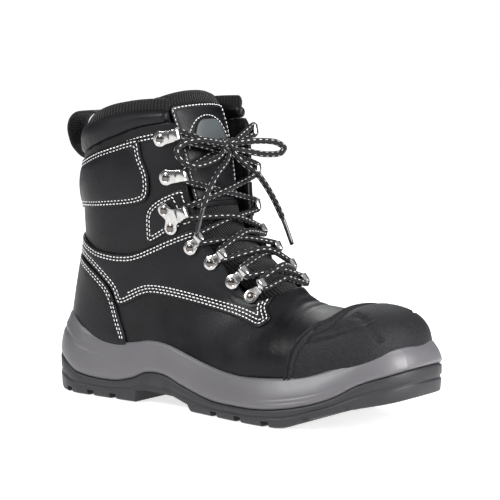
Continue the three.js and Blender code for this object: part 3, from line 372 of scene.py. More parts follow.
def open_smooth(points, steps):
    """A smooth line from the first point to the last"""
    points = np.asarray(points, float)
    return smooth_line(np.vstack([points[:1], points, points[-1:]]), steps)


def from_segment(x, z, a, b):
    """The share along a flat segment where points come nearest, and their way from there"""
    run = b - a
    t = np.clip(((x - a[0]) * run[0] + (z - a[1]) * run[1]) / max(1e-9, run @ run), 0, 1)
    return t, x - a[0] - t * run[0], z - a[1] - t * run[1]


def polygon_distance(x, z, corners):
    """Distance from a flat outline, below zero inside it"""
    nearest = np.full(len(x), 1e9)
    inside = np.zeros(len(x), bool)
    for a, b in zip(corners, np.roll(corners, -1, axis=0)):
        run = b - a
        nearest = np.minimum(nearest, np.hypot(*from_segment(x, z, a, b)[1:]))
        spans = (a[1] > z) != (b[1] > z)
        with np.errstate(divide="ignore", invalid="ignore"):
            inside ^= spans & (x < run[0] * (z - a[1]) / run[1] + a[0])
    return np.where(inside, -nearest, nearest)


# at, x, z, half, middle
THROAT_ROWS = [
    [0, 0.455, 1.2, 0.39, 0.015],
    [1, 0.462, 1.0, 0.372, 0.015],
    [2, 0.466, 0.94, 0.345, 0.015],
    [3, 0.472, 0.85, 0.335, 0.015],
    [4, 0.48, 0.72, 0.315, 0.015],
    [5, 0.487, 0.63, 0.28, 0.012],
    [6, 0.515, 0.565, 0.25, 0.01],
    [7, 0.57, 0.51, 0.235, 0.008],
    [8, 0.62, 0.455, 0.215, 0.006],
    [9, 0.648, 0.425, 0.19, 0.004],
    [10, 0.66, 0.41, 0.12, 0.004],
]


def throat_field(x, y, z):
    """Distance from the edge of the gap between the facings, below zero in the gap"""
    rows = curve(THROAT_ROWS, np.linspace(0, 10, 61))
    line = rows[:, 1:3] * [LENGTH, COLLAR]
    best = np.full(len(x), 1e9)
    half, middle, lift = np.zeros(len(x)), np.zeros(len(x)), np.zeros(len(x))
    for k in range(len(line) - 1):
        run = line[k + 1] - line[k]
        t, dx, dz = from_segment(x, z, line[k], line[k + 1])
        away = np.hypot(dx, dz)
        near = away < best
        best = np.where(near, away, best)
        half = np.where(near, (rows[k, 3] * (1 - t) + rows[k + 1, 3] * t) * BALL, half)
        middle = np.where(near, (rows[k, 4] * (1 - t) + rows[k + 1, 4] * t) * BALL, middle)
        lift = np.where(near, (-dx * run[1] + dz * run[0]) / np.linalg.norm(run), lift)
    end = unit(line[-1] - line[-2])
    beyond = (x - line[-1][0]) * end[0] + (z - line[-1][1]) * end[1]
    side = np.abs(y - middle) - half
    return np.maximum(np.maximum(side, beyond), -lift - 0.2 * BALL)


# at, z, roll, lining
TOPLINE_ROWS = [
    [0.0, 0.925, 0.1, 0.01],
    [0.1, 0.932, 0.1, 0.012],
    [0.16, 0.95, 0.092, 0.03],
    [0.24, 0.975, 0.076, 0.036],
    [0.32, 0.993, 0.056, 0.036],
    [0.42, 1.0, 0.04, 0.036],
    [0.5, 1.0, 0.036, 0.036],
]
# at, rim, joint, tread, lean
SIDE_ROWS = [
    [0.0, 0.69, 0.32, 0.04, 0.093],
    [0.055, 0.655, 0.28, 0.0, 0.088],
    [0.12, 0.565, 0.18, 0.0, 0.07],
    [0.225, 0.48, 0.155, 0.0, 0.049],
    [0.29, 0.5, 0.2, 0.0, 0.044],
    [0.33, 0.525, 0.26, 0.0, 0.044],
    [0.385, 0.515, 0.265, 0.0, 0.044],
    [0.445, 0.46, 0.2, 0.0, 0.045],
    [0.53, 0.39, 0.13, 0.0, 0.049],
    [0.61, 0.357, 0.12, 0.0, 0.053],
    [0.69, 0.37, 0.13, 0.0, 0.063],
    [0.755, 0.395, 0.16, 0.012, 0.067],
    [0.815, 0.44, 0.21, 0.095, 0.065],
    [0.865, 0.5, 0.28, 0.15, 0.048],
    [0.915, 0.58, 0.385, 0.2, 0.044],
    [0.97, 0.65, 0.46, 0.24, 0.064],
    [1.0, 0.675, 0.5, 0.27, 0.081],
]
BED_ROWS = [
    [0.0, 0.37], [0.2, 0.36], [0.4, 0.33], [0.58, 0.24], [0.72, 0.235], [0.85, 0.35],
    [0.93, 0.445], [1.0, 0.53],
]


def topline(x):
    """Height of the roll's foot, the roll and the lining at an x"""
    rows = curve(TOPLINE_ROWS, np.asarray(x) / LENGTH) * COLLAR
    return rows[:, 1] - rows[:, 2], rows[:, 2], rows[:, 3]


def side_row(share, column):
    """Height of one of the sole's lines, or its lean, at shares of the length"""
    return np.maximum(0, curve(SIDE_ROWS, share)[:, column]) * INSTEP


def sole_line(x, column):
    """The same at an x in millimetres"""
    return side_row(np.asarray(x) / LENGTH, column)


def bed(x):
    """Height of the footbed's underside at an x"""
    return curve(BED_ROWS, np.asarray(x) / LENGTH)[:, 1] * INSTEP


class Edges:
    """The lines that every piece on one skin is cut to"""

    def __init__(self, skin):
        self.throat = throat_field(skin.x, skin.y, skin.z)
        self.top = skin.z - topline(skin.x)[0]
        self.sole = sole_line(skin.x, 1) - 5 - skin.z


coarse_edges = Edges(coarse_skin)
fine_edges = Edges(fine_skin)


# Upper
# The main leather wall, from the collar down into the sole, with the fabric lining on its inside.
# It is cut from full-grain black leather, pulled over the last and stitched to the panels.
def add_node(material, kind, settings=None, **inputs):
    """A node with its settings and inputs; an input is a value or another node's output"""
    tree = material.node_tree
    node = tree.nodes.new(kind)
    for key, value in (settings or {}).items():
        setattr(node, key, value)
    for key, value in inputs.items():
        socket = node.inputs[int(key[1:])] if key[0] == "_" else node.inputs[key.replace("_", " ")]
        if isinstance(value, bpy.types.NodeSocket):
            tree.links.new(value, socket)
        else:
            socket.default_value = value
    return node


def new_material(name, **sockets):
    """A material whose even numbers and colours stand on the shader's own sockets"""
    material = bpy.data.materials.new(name)
    material.use_nodes = True
    shader = material.node_tree.nodes["Principled BSDF"]
    for key, value in sockets.items():
        shader.inputs[key.replace("_", " ")].default_value = value
    return material, shader


def mixed(material, share, dark, light):
    """A colour between two, by a share"""
    ramp = add_node(material, "ShaderNodeValToRGB", None, Fac=share)
    ramp.color_ramp.elements[0].color = (*dark, 1)
    ramp.color_ramp.elements[1].color = (*light, 1)
    return ramp.outputs["Color"]


def ranged(material, value, low, high, source=(0, 1)):
    """A value carried over from one range to another"""
    sized = {"From_Min": source[0], "From_Max": source[1], "To_Min": low, "To_Max": high}
    return add_node(material, "ShaderNodeMapRange", None, Value=value, **sized).outputs["Result"]


def noise(material, place, scale, detail=3.0):
    found = add_node(material, "ShaderNodeTexNoise", None, Vector=place, Scale=scale, Detail=detail)
    return found.outputs[0]


def bands(material, place, direction, scale, distortion):
    """Soft stripes across one direction of a place"""
    wave = {"wave_type": "BANDS", "bands_direction": direction}
    found = add_node(material, "ShaderNodeTexWave", wave, Vector=place, Scale=scale, Distortion=distortion)
    return found.outputs["Fac"]


def calc(material, operation, a, b=0.0, c=0.0):
    """A sum on numbers or node outputs"""
    return add_node(material, "ShaderNodeMath", {"operation": operation}, _0=a, _1=b, _2=c).outputs[0]


def wired(material, shader, **outputs):
    """Joins node outputs to the shader's sockets"""
    for key, value in outputs.items():
        material.node_tree.links.new(value, shader.inputs[key.replace("_", " ")])


def bumped(material, shader, *layers):
    """Bumps one on another, each a height and its depth in metres"""
    normal = None
    for height, depth in layers:
        more = {"Normal": normal} if normal else {}
        bump = add_node(material, "ShaderNodeBump", None, Height=height, Distance=depth, Strength=1.0, **more)
        normal = bump.outputs["Normal"]
    material.node_tree.links.new(normal, shader.inputs["Normal"])


def edge_height(material, rows):
    """Height of a piece's surface over the distance from its edge: pillowed, sunk where it is stitched"""
    edge = add_node(material, "ShaderNodeAttribute", {"attribute_name": "edge"}).outputs["Fac"]
    ramp = add_node(material, "ShaderNodeValToRGB", None, Fac=ranged(material, edge, 0, 1, (0, 10)))
    ramp.color_ramp.interpolation = "B_SPLINE"
    elements = ramp.color_ramp.elements
    elements[0].color, elements[1].color = (0.15, 0.15, 0.15, 1), (1, 1, 1, 1)
    stops = [(0.07, 0.75)]
    for row in rows:
        stops += [(row / 10 - 0.055, 0.85), (row / 10, 0.35), (row / 10 + 0.055, 0.85)]
    for place, level in sorted(stops):
        elements.new(min(0.98, place)).color = (level, level, level, 1)
    return ramp.outputs["Color"]


def leather(name, dark, light, rows=(2.0, 4.0), shine=(0.34, 0.5), grain=0.00009):
    """Black full-grain leather: fine pores, soft patches of shine and, where rows are given, a pillowed edge
    sunk where it is stitched
    """
    material, shader = new_material(name, Coat_Weight=0.02, Coat_Roughness=0.3, Specular_IOR_Level=0.17)
    place = add_node(material, "ShaderNodeTexCoord").outputs["Object"]
    patches = noise(material, place, 34, 4)
    pores = add_node(material, "ShaderNodeTexVoronoi", None, Vector=place, Scale=1150.0).outputs["Distance"]
    lines = noise(material, place, 420, 6)
    tint = mixed(material, ranged(material, patches, 0, 1, (0.3, 0.7)), dark, light)
    wired(material, shader, Base_Color=tint, Roughness=ranged(material, patches, *shine, (0.35, 0.65)))
    layers = [(lines, grain * 2), (pores, grain)]
    if rows:
        layers.insert(0, (edge_height(material, rows), 0.0007))
    bumped(material, shader, *layers)
    return material


def lining_cloth(name, dark, light, ribs=640.0, across="X"):
    """Black knitted mesh with ribs along the piece, read from its UV map in metres"""
    look = {"Sheen_Weight": 0.1, "Sheen_Roughness": 0.5, "Specular_IOR_Level": 0.15}
    material, shader = new_material(name, Roughness=0.92, **look)
    place = add_node(material, "ShaderNodeUVMap", {"uv_map": "UVMap"}).outputs["UV"]
    rib = bands(material, place, across, ribs / 20, 0.6)
    knit = bands(material, place, "Y" if across == "X" else "X", ribs / 10, 1.2)
    both = calc(material, "ADD", calc(material, "MULTIPLY", rib, knit), rib)
    share = ranged(material, both, 0, 1, (0, 2))
    wired(material, shader, Base_Color=mixed(material, share, dark, light))
    bumped(material, shader, (share, 0.0006))
    return material


black_leather = leather("black_leather", (0.0018, 0.0018, 0.0025), (0.0062, 0.0062, 0.0078))
plain_leather = leather("plain_leather", (0.0018, 0.0018, 0.0024), (0.0062, 0.0062, 0.0076), rows=())
inside_cloth = lining_cloth("inside_cloth", (0.004, 0.004, 0.0045), (0.018, 0.018, 0.02))


# place, width and depth in millimetres, slant
CREASES = [(222, 2.2, 0.55, 0.22), (229, 1.8, 0.45, 0.3), (214, 2.6, 0.4, 0.12), (207, 3, 0.3, 0.05)]


def creases(x, y, z):
    """Walking creases across the vamp, just behind the toe cover, in millimetres"""
    height = np.zeros(len(x))
    for place, width, deep, slant in CREASES:
        away = x + slant * (z - 70) + 0.1 * np.abs(y) - place
        fade = np.exp(-((y / 34) ** 2)) * (z > 50)
        height -= deep * np.exp(-((away / width) ** 2)) * fade
    wide = np.sin(x * 0.11 + y * 0.05) * np.sin(z * 0.09 + 1.3) + 0.6 * np.sin(x * 0.19 - z * 0.14)
    return height + 0.22 * wide


def panel(name, skin, field, low, high, materials, puff=0.0, relief=None, inner_material=0):
    """One piece of leather on the last: cut to a field, lifted, and given its thickness"""
    faces, start, end, share = trimmed(skin, field)
    point = taken(skin.point, start, end, share)
    out = unit(taken(skin.out, start, end, share))
    inward = np.maximum(0, -taken(field, start, end, share))
    lift = high + puff * (1 - np.exp(-np.maximum(0, inward - 3) / 5))
    if relief is not None:
        lift = lift + relief(*point.T)
    pair = np.stack([taken(values, start, end, share) * 0.3 for values in (skin.around, skin.along)], axis=-1)
    piece = mesh_object(name, point + out * lift[:, None], faces, materials, {"edge": inward}, pair)
    return finished(piece, walled(high - low, inner_material))


def upper_field(skin, edges):
    return np.maximum.reduce([edges.top, -edges.throat, bed(skin.x) + 1.5 - skin.z])


def stands_for(piece, node, body="boot"):
    """Hides the solid that a piece replaces and hangs the piece on the body it rides"""
    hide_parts(node)
    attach(piece, body)


upper_cut = upper_field(coarse_skin, coarse_edges)
upper = panel("upper_leather", coarse_skin, upper_cut, -WALL, 0, [plain_leather, inside_cloth], 0, creases, 1)
stands_for(upper, "upper")


# Stitching
# Contrast thread in white, in double and triple rows along the panels' edges. Each stitch is a
# short bright piece of thread that dips into the leather at both ends.
def clouded(name, mottle, dark, light, rough=None, wear=None, bumps=(), **sockets):
    """A material mottled by a noise, given as scale and detail, with finer noises as bumps"""
    material, shader = new_material(name, **sockets)
    place = add_node(material, "ShaderNodeTexCoord").outputs["Object"]
    cloud = noise(material, place, *mottle)
    wired(material, shader, Base_Color=mixed(material, cloud, dark, light))
    if rough:
        worn = noise(material, place, *(wear or mottle))
        wired(material, shader, Roughness=ranged(material, worn, *rough))
    if bumps:
        bumped(material, shader, *[(noise(material, place, *row[:2]), row[2]) for row in bumps])
    return material


white_thread = clouded(
    "white_thread",
    (2600, 2),
    (0.42, 0.42, 0.42),
    (0.86, 0.86, 0.84),
    bumps=[(2600, 2, 0.0001)],
    Roughness=0.6,
    Sheen_Weight=0.3,
)


def seam_lines(skin, field, lift, keep=None):
    """The lines where a field is zero, as chains of points and outward directions"""
    _, _, cuts, joins = crossings(skin, field)
    near = {}
    for a, b in joins:
        near.setdefault(a, []).append(b)
        near.setdefault(b, []).append(a)
    left = set(near)
    lines = []
    while left:
        ends = [key for key in left if len(near[key]) == 1]
        key = ends[0] if ends else next(iter(left))
        chain = []
        while key is not None:
            left.discard(key)
            chain.append(key)
            key = next((other for other in near[key] if other in left), None)
        if len(chain) > 4:
            pairs = np.array(chain)
            share = np.array([cuts[k] for k in chain])
            point = taken(skin.point, pairs[:, 0], pairs[:, 1], share)
            out = unit(taken(skin.out, pairs[:, 0], pairs[:, 1], share))
            good = np.ones(len(chain), bool) if keep is None else keep(*point.T)
            point = point + out * lift
            runs = np.split(np.arange(len(chain)), np.flatnonzero(np.diff(good.astype(int))) + 1)
            lines += [(point[run], out[run]) for run in runs if good[run[0]] and len(run) > 4]
    return lines


STITCH_PITCH, STITCH_LENGTH, STITCH_THICK = 3.2, 2.1, 0.4


def sew(name, lines):
    """All stitches of some seams as one piece of thread work"""
    corners, faces = [], []
    ring = [(math.cos(k * math.pi / 3), math.sin(k * math.pi / 3)) for k in range(6)]
    rows = [(-0.5, 0.35, -0.35), (-0.3, 1, 0.1), (0.3, 1, 0.1), (0.5, 0.35, -0.35)]
    stitch = [*ring_faces(4, 6), list(range(5, -1, -1)), list(range(18, 24))]
    for point, out in lines:
        walked = walked_along(point)
        for at in np.arange(STITCH_PITCH / 2, walked[-1] - STITCH_PITCH / 2, STITCH_PITCH):
            spot, ahead = at_lengths(at, walked, point), at_lengths(at + 1, walked, point)
            up, forward = unit(at_lengths(at, walked, out)), unit(ahead - spot)
            side = np.cross(up, forward)
            base = len(corners)
            faces += [[base + k for k in face] for face in stitch]
            for along, wide, high in rows:
                for c, s in ring:
                    shift = side * (c * wide) + up * (0.7 * s * wide + high)
                    corners.append(spot + forward * along * STITCH_LENGTH + shift * STITCH_THICK)
    piece = mesh_object(name, corners, faces, white_thread)
    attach(piece, "boot")
    return piece


def above_sole(x, y, z):
    return z > sole_line(x, 1) + 2


def beside_throat(x, y, z):
    """Stops the rows at the edge of the facings"""
    return throat_field(x, y, z) > 4


def up_the_heel(x, y, z):
    """Only the back of the shaft, between the quarter and the pad"""
    return (x < 60) & (z > 118) & (z < 134)


collar_seams = []
for down in (7.0, 9.6):
    collar_seams += seam_lines(coarse_skin, coarse_edges.top + down, 0.25, beside_throat)
sew("collar_stitching", collar_seams)
back_line = np.abs(coarse_skin.y - 0.6) - 1.6
sew("heel_seam_stitching", seam_lines(coarse_skin, back_line, 0.3, up_the_heel))

# Heel counter
# A stiff shaped piece of leather that cups the heel, under the quarter and down into the sole.
PANEL = 1.6
COUNTER = [
    [-0.1, 0.5], [0.07, 0.485], [0.15, 0.445], [0.215, 0.375], [0.245, 0.265], [0.26, 0.205],
    [0.262, 0.02], [-0.1, 0.02],
]


def sew_panel(name, skin, field, lift, rows, keep=above_sole):
    lines = []
    for row in rows:
        lines += seam_lines(skin, field + row, lift + 0.25, keep)
    return sew(name, lines)


counter_cut = np.maximum(outline_field(fine_skin, COUNTER, COLLAR), fine_edges.sole)
counter = panel("heel_counter", fine_skin, counter_cut, 0, PANEL, black_leather, 0.35)
stands_for(counter, "counter")
sew_panel("counter_stitching", fine_skin, counter_cut, PANEL, (2.0, 4.2))

# Quarter
# The large lower side panel, from the lace facings back round the heel, cut away for the zip on
# the inner side. Its lower edge is sewn with three rows and its other edges with two.
QUARTER = [
    [-0.1, 0.545], [0.065, 0.56], [0.18, 0.51], [0.28, 0.505], [0.4, 0.575], [0.48, 0.61],
    [0.652, 0.61], [0.648, 0.42], [0.638, 0.365], [0.66, 0.33], [0.648, 0.305], [0.63, 0.3],
    [0.565, 0.325], [0.43, 0.363], [0.33, 0.373], [0.245, 0.325], [0.22, 0.383], [0.155, 0.455],
    [0.073, 0.497], [-0.1, 0.512],
]
ZIP_TOP, ZIP_FOOT, ZIP_HALF = (0.3, 0.9), (0.275, 0.36), 7.7


def zip_distance(x, y, z, grow):
    """Distance from the zip's slot on the inner side, below zero in it"""
    top, foot = np.array(ZIP_TOP) * [LENGTH, COLLAR], np.array(ZIP_FOOT) * [LENGTH, COLLAR]
    run = unit(top - foot)
    along = (x - foot[0]) * run[0] + (z - foot[1]) * run[1]
    side = np.abs((x - foot[0]) * run[1] - (z - foot[1]) * run[0]) - ZIP_HALF - grow
    ends = np.maximum(-along, along - np.linalg.norm(top - foot)) - grow
    return np.maximum.reduce([side, ends, -y])


def zip_field(skin, grow):
    return zip_distance(skin.x, skin.y, skin.z, grow)


quarter_shape = outline_field(fine_skin, QUARTER, COLLAR)
quarter_cut = np.maximum.reduce([quarter_shape, -fine_edges.throat, -zip_field(fine_skin, GAP)])
quarter = panel("quarter_panel", fine_skin, quarter_cut, 0, PANEL, black_leather, 0.3)
stands_for(quarter, "quarter")


def on_leather(x, y, z):
    """Clear of the sole, of the throat and of the zip"""
    beside = (throat_field(x, y, z) > 1.5) & (zip_distance(x, y, z, 1.5) > 0)
    return above_sole(x, y, z) & beside


def low_edge(x, y, z):
    """Only the quarter's lower edge, from the counter to the vamp"""
    return (x > 84) & (z < 88) & (x < 205) & (throat_field(x, y, z) > 1.5)


def beside_zip(x, y, z):
    """Only the part of the zip's edge that lies in the quarter"""
    return on_leather(x, y, z) & (z < 0.6 * COLLAR)


def above_quarter(x, y, z):
    """Only the part of the zip's edge that lies in the shaft"""
    return (z > 0.62 * COLLAR) & (z < 0.885 * COLLAR)


sew_panel("quarter_stitching", fine_skin, quarter_shape, PANEL, (2.0, 4.2), on_leather)
sew("quarter_third_row", seam_lines(fine_skin, quarter_shape + 6.4, PANEL + 0.35, low_edge))
zip_row = 2.2 - zip_field(fine_skin, GAP)
sew("zip_stitching_low", seam_lines(fine_skin, zip_row, PANEL + 0.25, beside_zip))
sew("zip_stitching_high", seam_lines(fine_skin, zip_row, 0.25, above_quarter))

# Ankle pad
# The cushioned panel round the back of the shaft: foam under leather, stitched flat at its edge.
ANKLE_PAD = [
    [-0.1, 0.765], [0.08, 0.795], [0.205, 0.855], [0.3, 0.895], [0.32, 0.895], [0.328, 0.84],
    [0.345, 0.78], [0.345, 0.72], [0.33, 0.69], [0.28, 0.672], [0.135, 0.652], [-0.1, 0.635],
]
front_of_zip = (fine_skin.x - ZIP_FOOT[0] * LENGTH) - (fine_skin.z - ZIP_FOOT[1] * COLLAR) * 0.069
pad_front = np.where(fine_skin.y > 0, front_of_zip + ZIP_HALF + GAP, -1e3)
pad_cut = np.maximum.reduce([outline_field(fine_skin, ANKLE_PAD, COLLAR), fine_edges.top + 1.5, pad_front])
ankle_pad = panel("ankle_padding", fine_skin, pad_cut, 0, 1.5, black_leather, 2.0)
stands_for(ankle_pad, "ankle_pad")
sew_panel("ankle_pad_stitching", fine_skin, pad_cut, 1.5, (1.8, 4.0))

# Cleat panels
# The two small leather panels that carry the lowest open hooks, sewn between the shaft and quarter.
CLEAT_PATCH = [
    [0.6, 0.745], [0.45, 0.742], [0.375, 0.705], [0.338, 0.66], [0.332, 0.6], [0.337, 0.55],
    [0.4, 0.595], [0.47, 0.63], [0.6, 0.65],
]
CLEAT_LAYER = 1.0
patch_shape = outline_field(fine_skin, CLEAT_PATCH, COLLAR)
for name, hand in (("lateral", -1), ("medial", 1)):
    cut = np.maximum.reduce([patch_shape, -fine_edges.throat, -hand * fine_skin.y])
    patch = panel("cleat_panel_" + name, fine_skin, cut, 0, CLEAT_LAYER, black_leather, 0.1)
    stands_for(patch, "cleat_patch_" + name)
    sew_panel("cleat_stitching_" + name, fine_skin, cut, CLEAT_LAYER, (1.6, 3.6))

# Toe cover
# A thick moulded cover over the toe, grained and matt, with a double bead at its rear edge, a groove
# along its side and a curved notch on either shoulder.
CAP = 2.3
CAP_EDGE = [[0.735, 0.1], [0.742, 0.42], [0.755, 0.63], [0.785, 0.785], [0.82, 0.87], [0.83, 1.2]]
vamp_rows = np.linspace(0.86, 1, 90, endpoint=False)
toe_skin = Skin(np.concatenate([vamp_rows, alongs_from(1.0, 1, 140)[1:]]), 330)
toe_edges = Edges(toe_skin)
NOTCH = [[0.868, 0.872], [0.89, 0.852], [0.907, 0.815], [0.917, 0.78], [0.934, 0.72]]
SIDE_GROOVE = [[0.789, 0.673], [0.839, 0.724], [0.879, 0.783], [0.906, 0.832], [0.924, 0.862], [0.94, 0.88]]
SHORT_GROOVE = [[0.8, 0.775], [0.79, 0.711], [0.789, 0.673]]


def side_distance(x, z, rows):
    """Distance from a line in the side view"""
    line = np.array(rows) * [LENGTH, INSTEP]
    nearest = np.full(len(x), 1e9)
    for a, b in zip(line[:-1], line[1:]):
        nearest = np.minimum(nearest, np.hypot(*from_segment(x, z, a, b)[1:]))
    return nearest


def cover_relief(x, y, z):
    """Grooves and a curved notch in the toe cover, in millimetres, alike on both sides"""
    groove = np.minimum(side_distance(x, z, SIDE_GROOVE), side_distance(x, z, SHORT_GROOVE))
    notch = side_distance(x, z, NOTCH)
    beside = np.clip((np.abs(y) - 14) / 6, 0, 1)
    depth = -1.2 * np.exp(-((groove / 0.7) ** 2))
    depth -= 1.5 * np.exp(-((notch / 1.2) ** 2)) - 0.2 * np.exp(-(((notch - 3.2) / 1.2) ** 2))
    return depth * beside


def moulded_grain():
    material, shader = new_material("moulded_grain", Specular_IOR_Level=0.16)
    place = add_node(material, "ShaderNodeTexCoord").outputs["Object"]
    pebbles = add_node(material, "ShaderNodeTexVoronoi", None, Vector=place, Scale=780.0).outputs["Distance"]
    fine = noise(material, place, 1500, 3)
    wide = noise(material, place, 40, 3)
    shade = ranged(material, pebbles, 0, 1, (0, 0.8))
    tint = mixed(material, shade, (0.004, 0.004, 0.0048), (0.013, 0.013, 0.0145))
    wired(material, shader, Base_Color=tint, Roughness=ranged(material, wide, 0.5, 0.66))
    bumped(material, shader, (pebbles, 0.00028), (fine, 0.00012))
    return material


grain_mould = moulded_grain()
cap_outline = [[x, z] for x, z in CAP_EDGE] + [[x + 1, z] for x, z in CAP_EDGE[::-1]]
cap_shape = outline_field(toe_skin, cap_outline, INSTEP, 5)
cap_cut = np.maximum(cap_shape, toe_edges.sole)


def beads(inward):
    """The double bead over the distance from the cover's edge, and the dips beside it"""
    rows = 1.5 * np.exp(-(((inward - 1.2) / 0.75) ** 2)) + 1.3 * np.exp(-(((inward - 4.2) / 0.75) ** 2))
    return rows - 0.5 * np.exp(-(((inward - 2.7) / 0.5) ** 2)) - 0.7 * np.exp(-(((inward - 6.4) / 0.7) ** 2))


faces, start, end, share = trimmed(toe_skin, cap_cut)
cap_point = taken(toe_skin.point, start, end, share)
cap_out = unit(taken(toe_skin.out, start, end, share))
cap_inward = np.maximum(0, -taken(cap_shape, start, end, share))
cap_lift = CAP + beads(cap_inward) + cover_relief(*cap_point.T)
cap_skin = cap_point + cap_out * cap_lift[:, None]
toe_cover = mesh_object("toe_cover", cap_skin, faces, grain_mould, {"edge": cap_inward})
finished(toe_cover, walled(CAP - GAP))
stands_for(toe_cover, "toe_cap")

# Midsole
# A cup of dark grey foamed rubber, moulded straight onto the upper: it leans in to a thin lip and
# rises round the heel and the toe.
PLAN_ROWS = [
    [0.0, 0.355, 0.355], [0.13, 0.352, 0.352], [0.24, 0.358, 0.342], [0.36, 0.366, 0.328],
    [0.48, 0.405, 0.335], [0.6, 0.465, 0.405], [0.7, 0.5, 0.485], [0.8, 0.487, 0.505],
    [0.88, 0.462, 0.49], [1.0, 0.43, 0.46],
]
HEEL_ROUND, TOE_ROUND, TOE_POWER = 0.13, 0.64, 2.9


def plan(share):
    """The sole's half widths at shares of its length, closed round at the heel and the toe"""
    rows = curve(PLAN_ROWS, share)
    heel = np.sqrt(np.clip(1 - (1 - np.minimum(1, share / HEEL_ROUND)) ** 2, 0, 1))
    toe = np.clip((share - TOE_ROUND) / (1 - TOE_ROUND), 0, 1)
    close = heel * (1 - toe**TOE_POWER) ** (1 / TOE_POWER)
    shift = 0.028 * BALL * toe**2
    return -rows[:, 1] * BALL * close + shift, rows[:, 2] * BALL * close + shift


def edited(piece, merge=0, outwards=False, flatten=0):
    """Merges near corners, turns all faces outwards and dissolves flat edges, as far as asked"""
    choose(piece)
    bpy.ops.object.mode_set(mode="EDIT")
    bpy.ops.mesh.select_all(action="SELECT")
    if merge:
        bpy.ops.mesh.remove_doubles(threshold=merge)
    if outwards:
        bpy.ops.mesh.normals_make_consistent(inside=False)
    if flatten:
        bpy.ops.mesh.dissolve_limited(angle_limit=flatten)
    bpy.ops.object.mode_set(mode="OBJECT")
    return piece


def sole_solid(name, levels, material, stations=150):
    """A closed slice of the sole through levels, each with a height and an inset at every station"""
    t = np.linspace(0, 1, stations)
    share = 0.5 - 0.5 * np.cos(math.pi * t) + 0.02 * np.sin(2 * math.pi * t)
    share[0], share[-1] = 0, 1
    near = 0.002
    low, high = np.maximum(0, share - near), np.minimum(1, share + near)
    rings = []
    for side, hand in ((0, 1), (1, -1)):
        edge = np.stack([share * LENGTH, plan(share)[side]], axis=-1)
        run = np.stack([(high - low) * LENGTH, plan(high)[side] - plan(low)[side]], axis=-1)
        inward = unit(np.stack([-hand * run[:, 1], hand * run[:, 0]], axis=-1))
        inward[0], inward[-1] = (1, 0), (-1, 0)
        rows = []
        for height, inset in levels:
            flat = edge + inward * inset(share)[:, None]
            rows.append(np.column_stack([flat, height(share)]))
        rings.append(rows if side == 0 else rows[::-1])
    corners = np.stack(rings[0] + rings[1], axis=1)
    faces = [[a, d, c, b] for a, b, c, d in ring_faces(stations, corners.shape[1])]
    piece = mesh_object(name, corners.reshape(-1, 3), faces, material)
    return edited(piece, merge=0.00002, outwards=True)


def cut_by(piece, *cutters):
    """Takes cutters out of a piece and deletes them"""
    for cutter in cutters:
        finished(piece, ("BOOLEAN", {"operation": "DIFFERENCE", "solver": "EXACT", "object": cutter}))
        bpy.data.objects.remove(cutter)
    return piece


def prism_block(name, outlines, upright=False):
    """Closed blocks from flat outlines: each is (points, low, high); upright ones stand in x and z"""
    corners, faces = [], []
    for points, low, high in outlines:
        base, count = len(corners), len(points)
        for level in (low, high):
            corners += [(x, level, z) if upright else (x, z, level) for x, z in points]
        faces.append([base + k for k in range(count)])
        faces.append([base + count + k for k in range(count - 1, -1, -1)])
        for k in range(count):
            n = (k + 1) % count
            faces.append([base + n, base + k, base + count + k, base + count + n])
    return edited(mesh_object(name, corners, faces, None), outwards=True)


grey_foam = clouded(
    "foamed_rubber",
    (16, 4),
    (0.062, 0.059, 0.064),
    (0.098, 0.094, 0.101),
    rough=(0.36, 0.52),
    bumps=[(120, 2, 0.0002), (900, 3, 0.00005)],
    Specular_IOR_Level=0.5,
    Coat_Weight=0.08,
    Coat_Roughness=0.4,
)
# share of the height, inset in millimetres, share of the lean
CUP_ROWS = [
    [0.0, 1.4, 0.0], [0.05, 0.5, 0.0], [0.14, 0.0, 0.02], [0.3, 0.1, 0.08], [0.5, 0.1, 0.26],
    [0.68, 0.0, 0.52], [0.85, -0.1, 0.84], [0.94, 0.0, 0.98], [1.0, 1.3, 1.0],
]


def cup_level(t):
    """The cup's height and inset at a share of the way from the tread up to the rim"""
    inset, lean = curve(CUP_ROWS, t)[0, 1:]
    shelf = 0.7 * math.exp(-(((t - 0.62) / 0.045) ** 2))
    flex = 0.5 * math.exp(-(((t - 0.2) / 0.035) ** 2)) + 0.35 * math.exp(-(((t - 0.34) / 0.035) ** 2))
    seam = -0.4 if 0.1 < t < 0.93 else 0.0

    def height_at(share):
        return side_row(share, 2) + GAP + t * (side_row(share, 1) - side_row(share, 2) - GAP)

    def inset_at(share):
        marks = shelf * np.exp(-((share / 0.17) ** 2)) + flex * np.exp(-(((share - 0.76) / 0.07) ** 2))
        return inset + lean * side_row(share, 4) + marks + seam * np.exp(-(((share - 0.9885) / 0.0022) ** 2))

    return height_at, inset_at


CUP_STEPS = [0, 0.03, 0.07, 0.12, *np.linspace(0.16, 0.9, 34).tolist(), 0.93, 0.965, 0.985, 1]
midsole = sole_solid("midsole_cup", [cup_level(t) for t in CUP_STEPS], grey_foam)


def last_block(offset, floor_lift):
    """The last as a closed solid above the footbed, to hollow out the sole with"""
    size = 90
    body = Skin(alongs_from(0.0, 70, 26), size)
    corners = body.point + body.out * offset
    corners[:, 2] = np.maximum(corners[:, 2], bed(corners[:, 0]) + floor_lift)
    faces = body.quads.tolist()
    faces.append(list(range(size - 1, -1, -1)))
    faces.append([len(corners) - size + k for k in range(size)])
    return mesh_object("last_block", corners, faces, None)


cut_by(midsole, last_block(GAP, 0.0))
stands_for(midsole, "midsole")

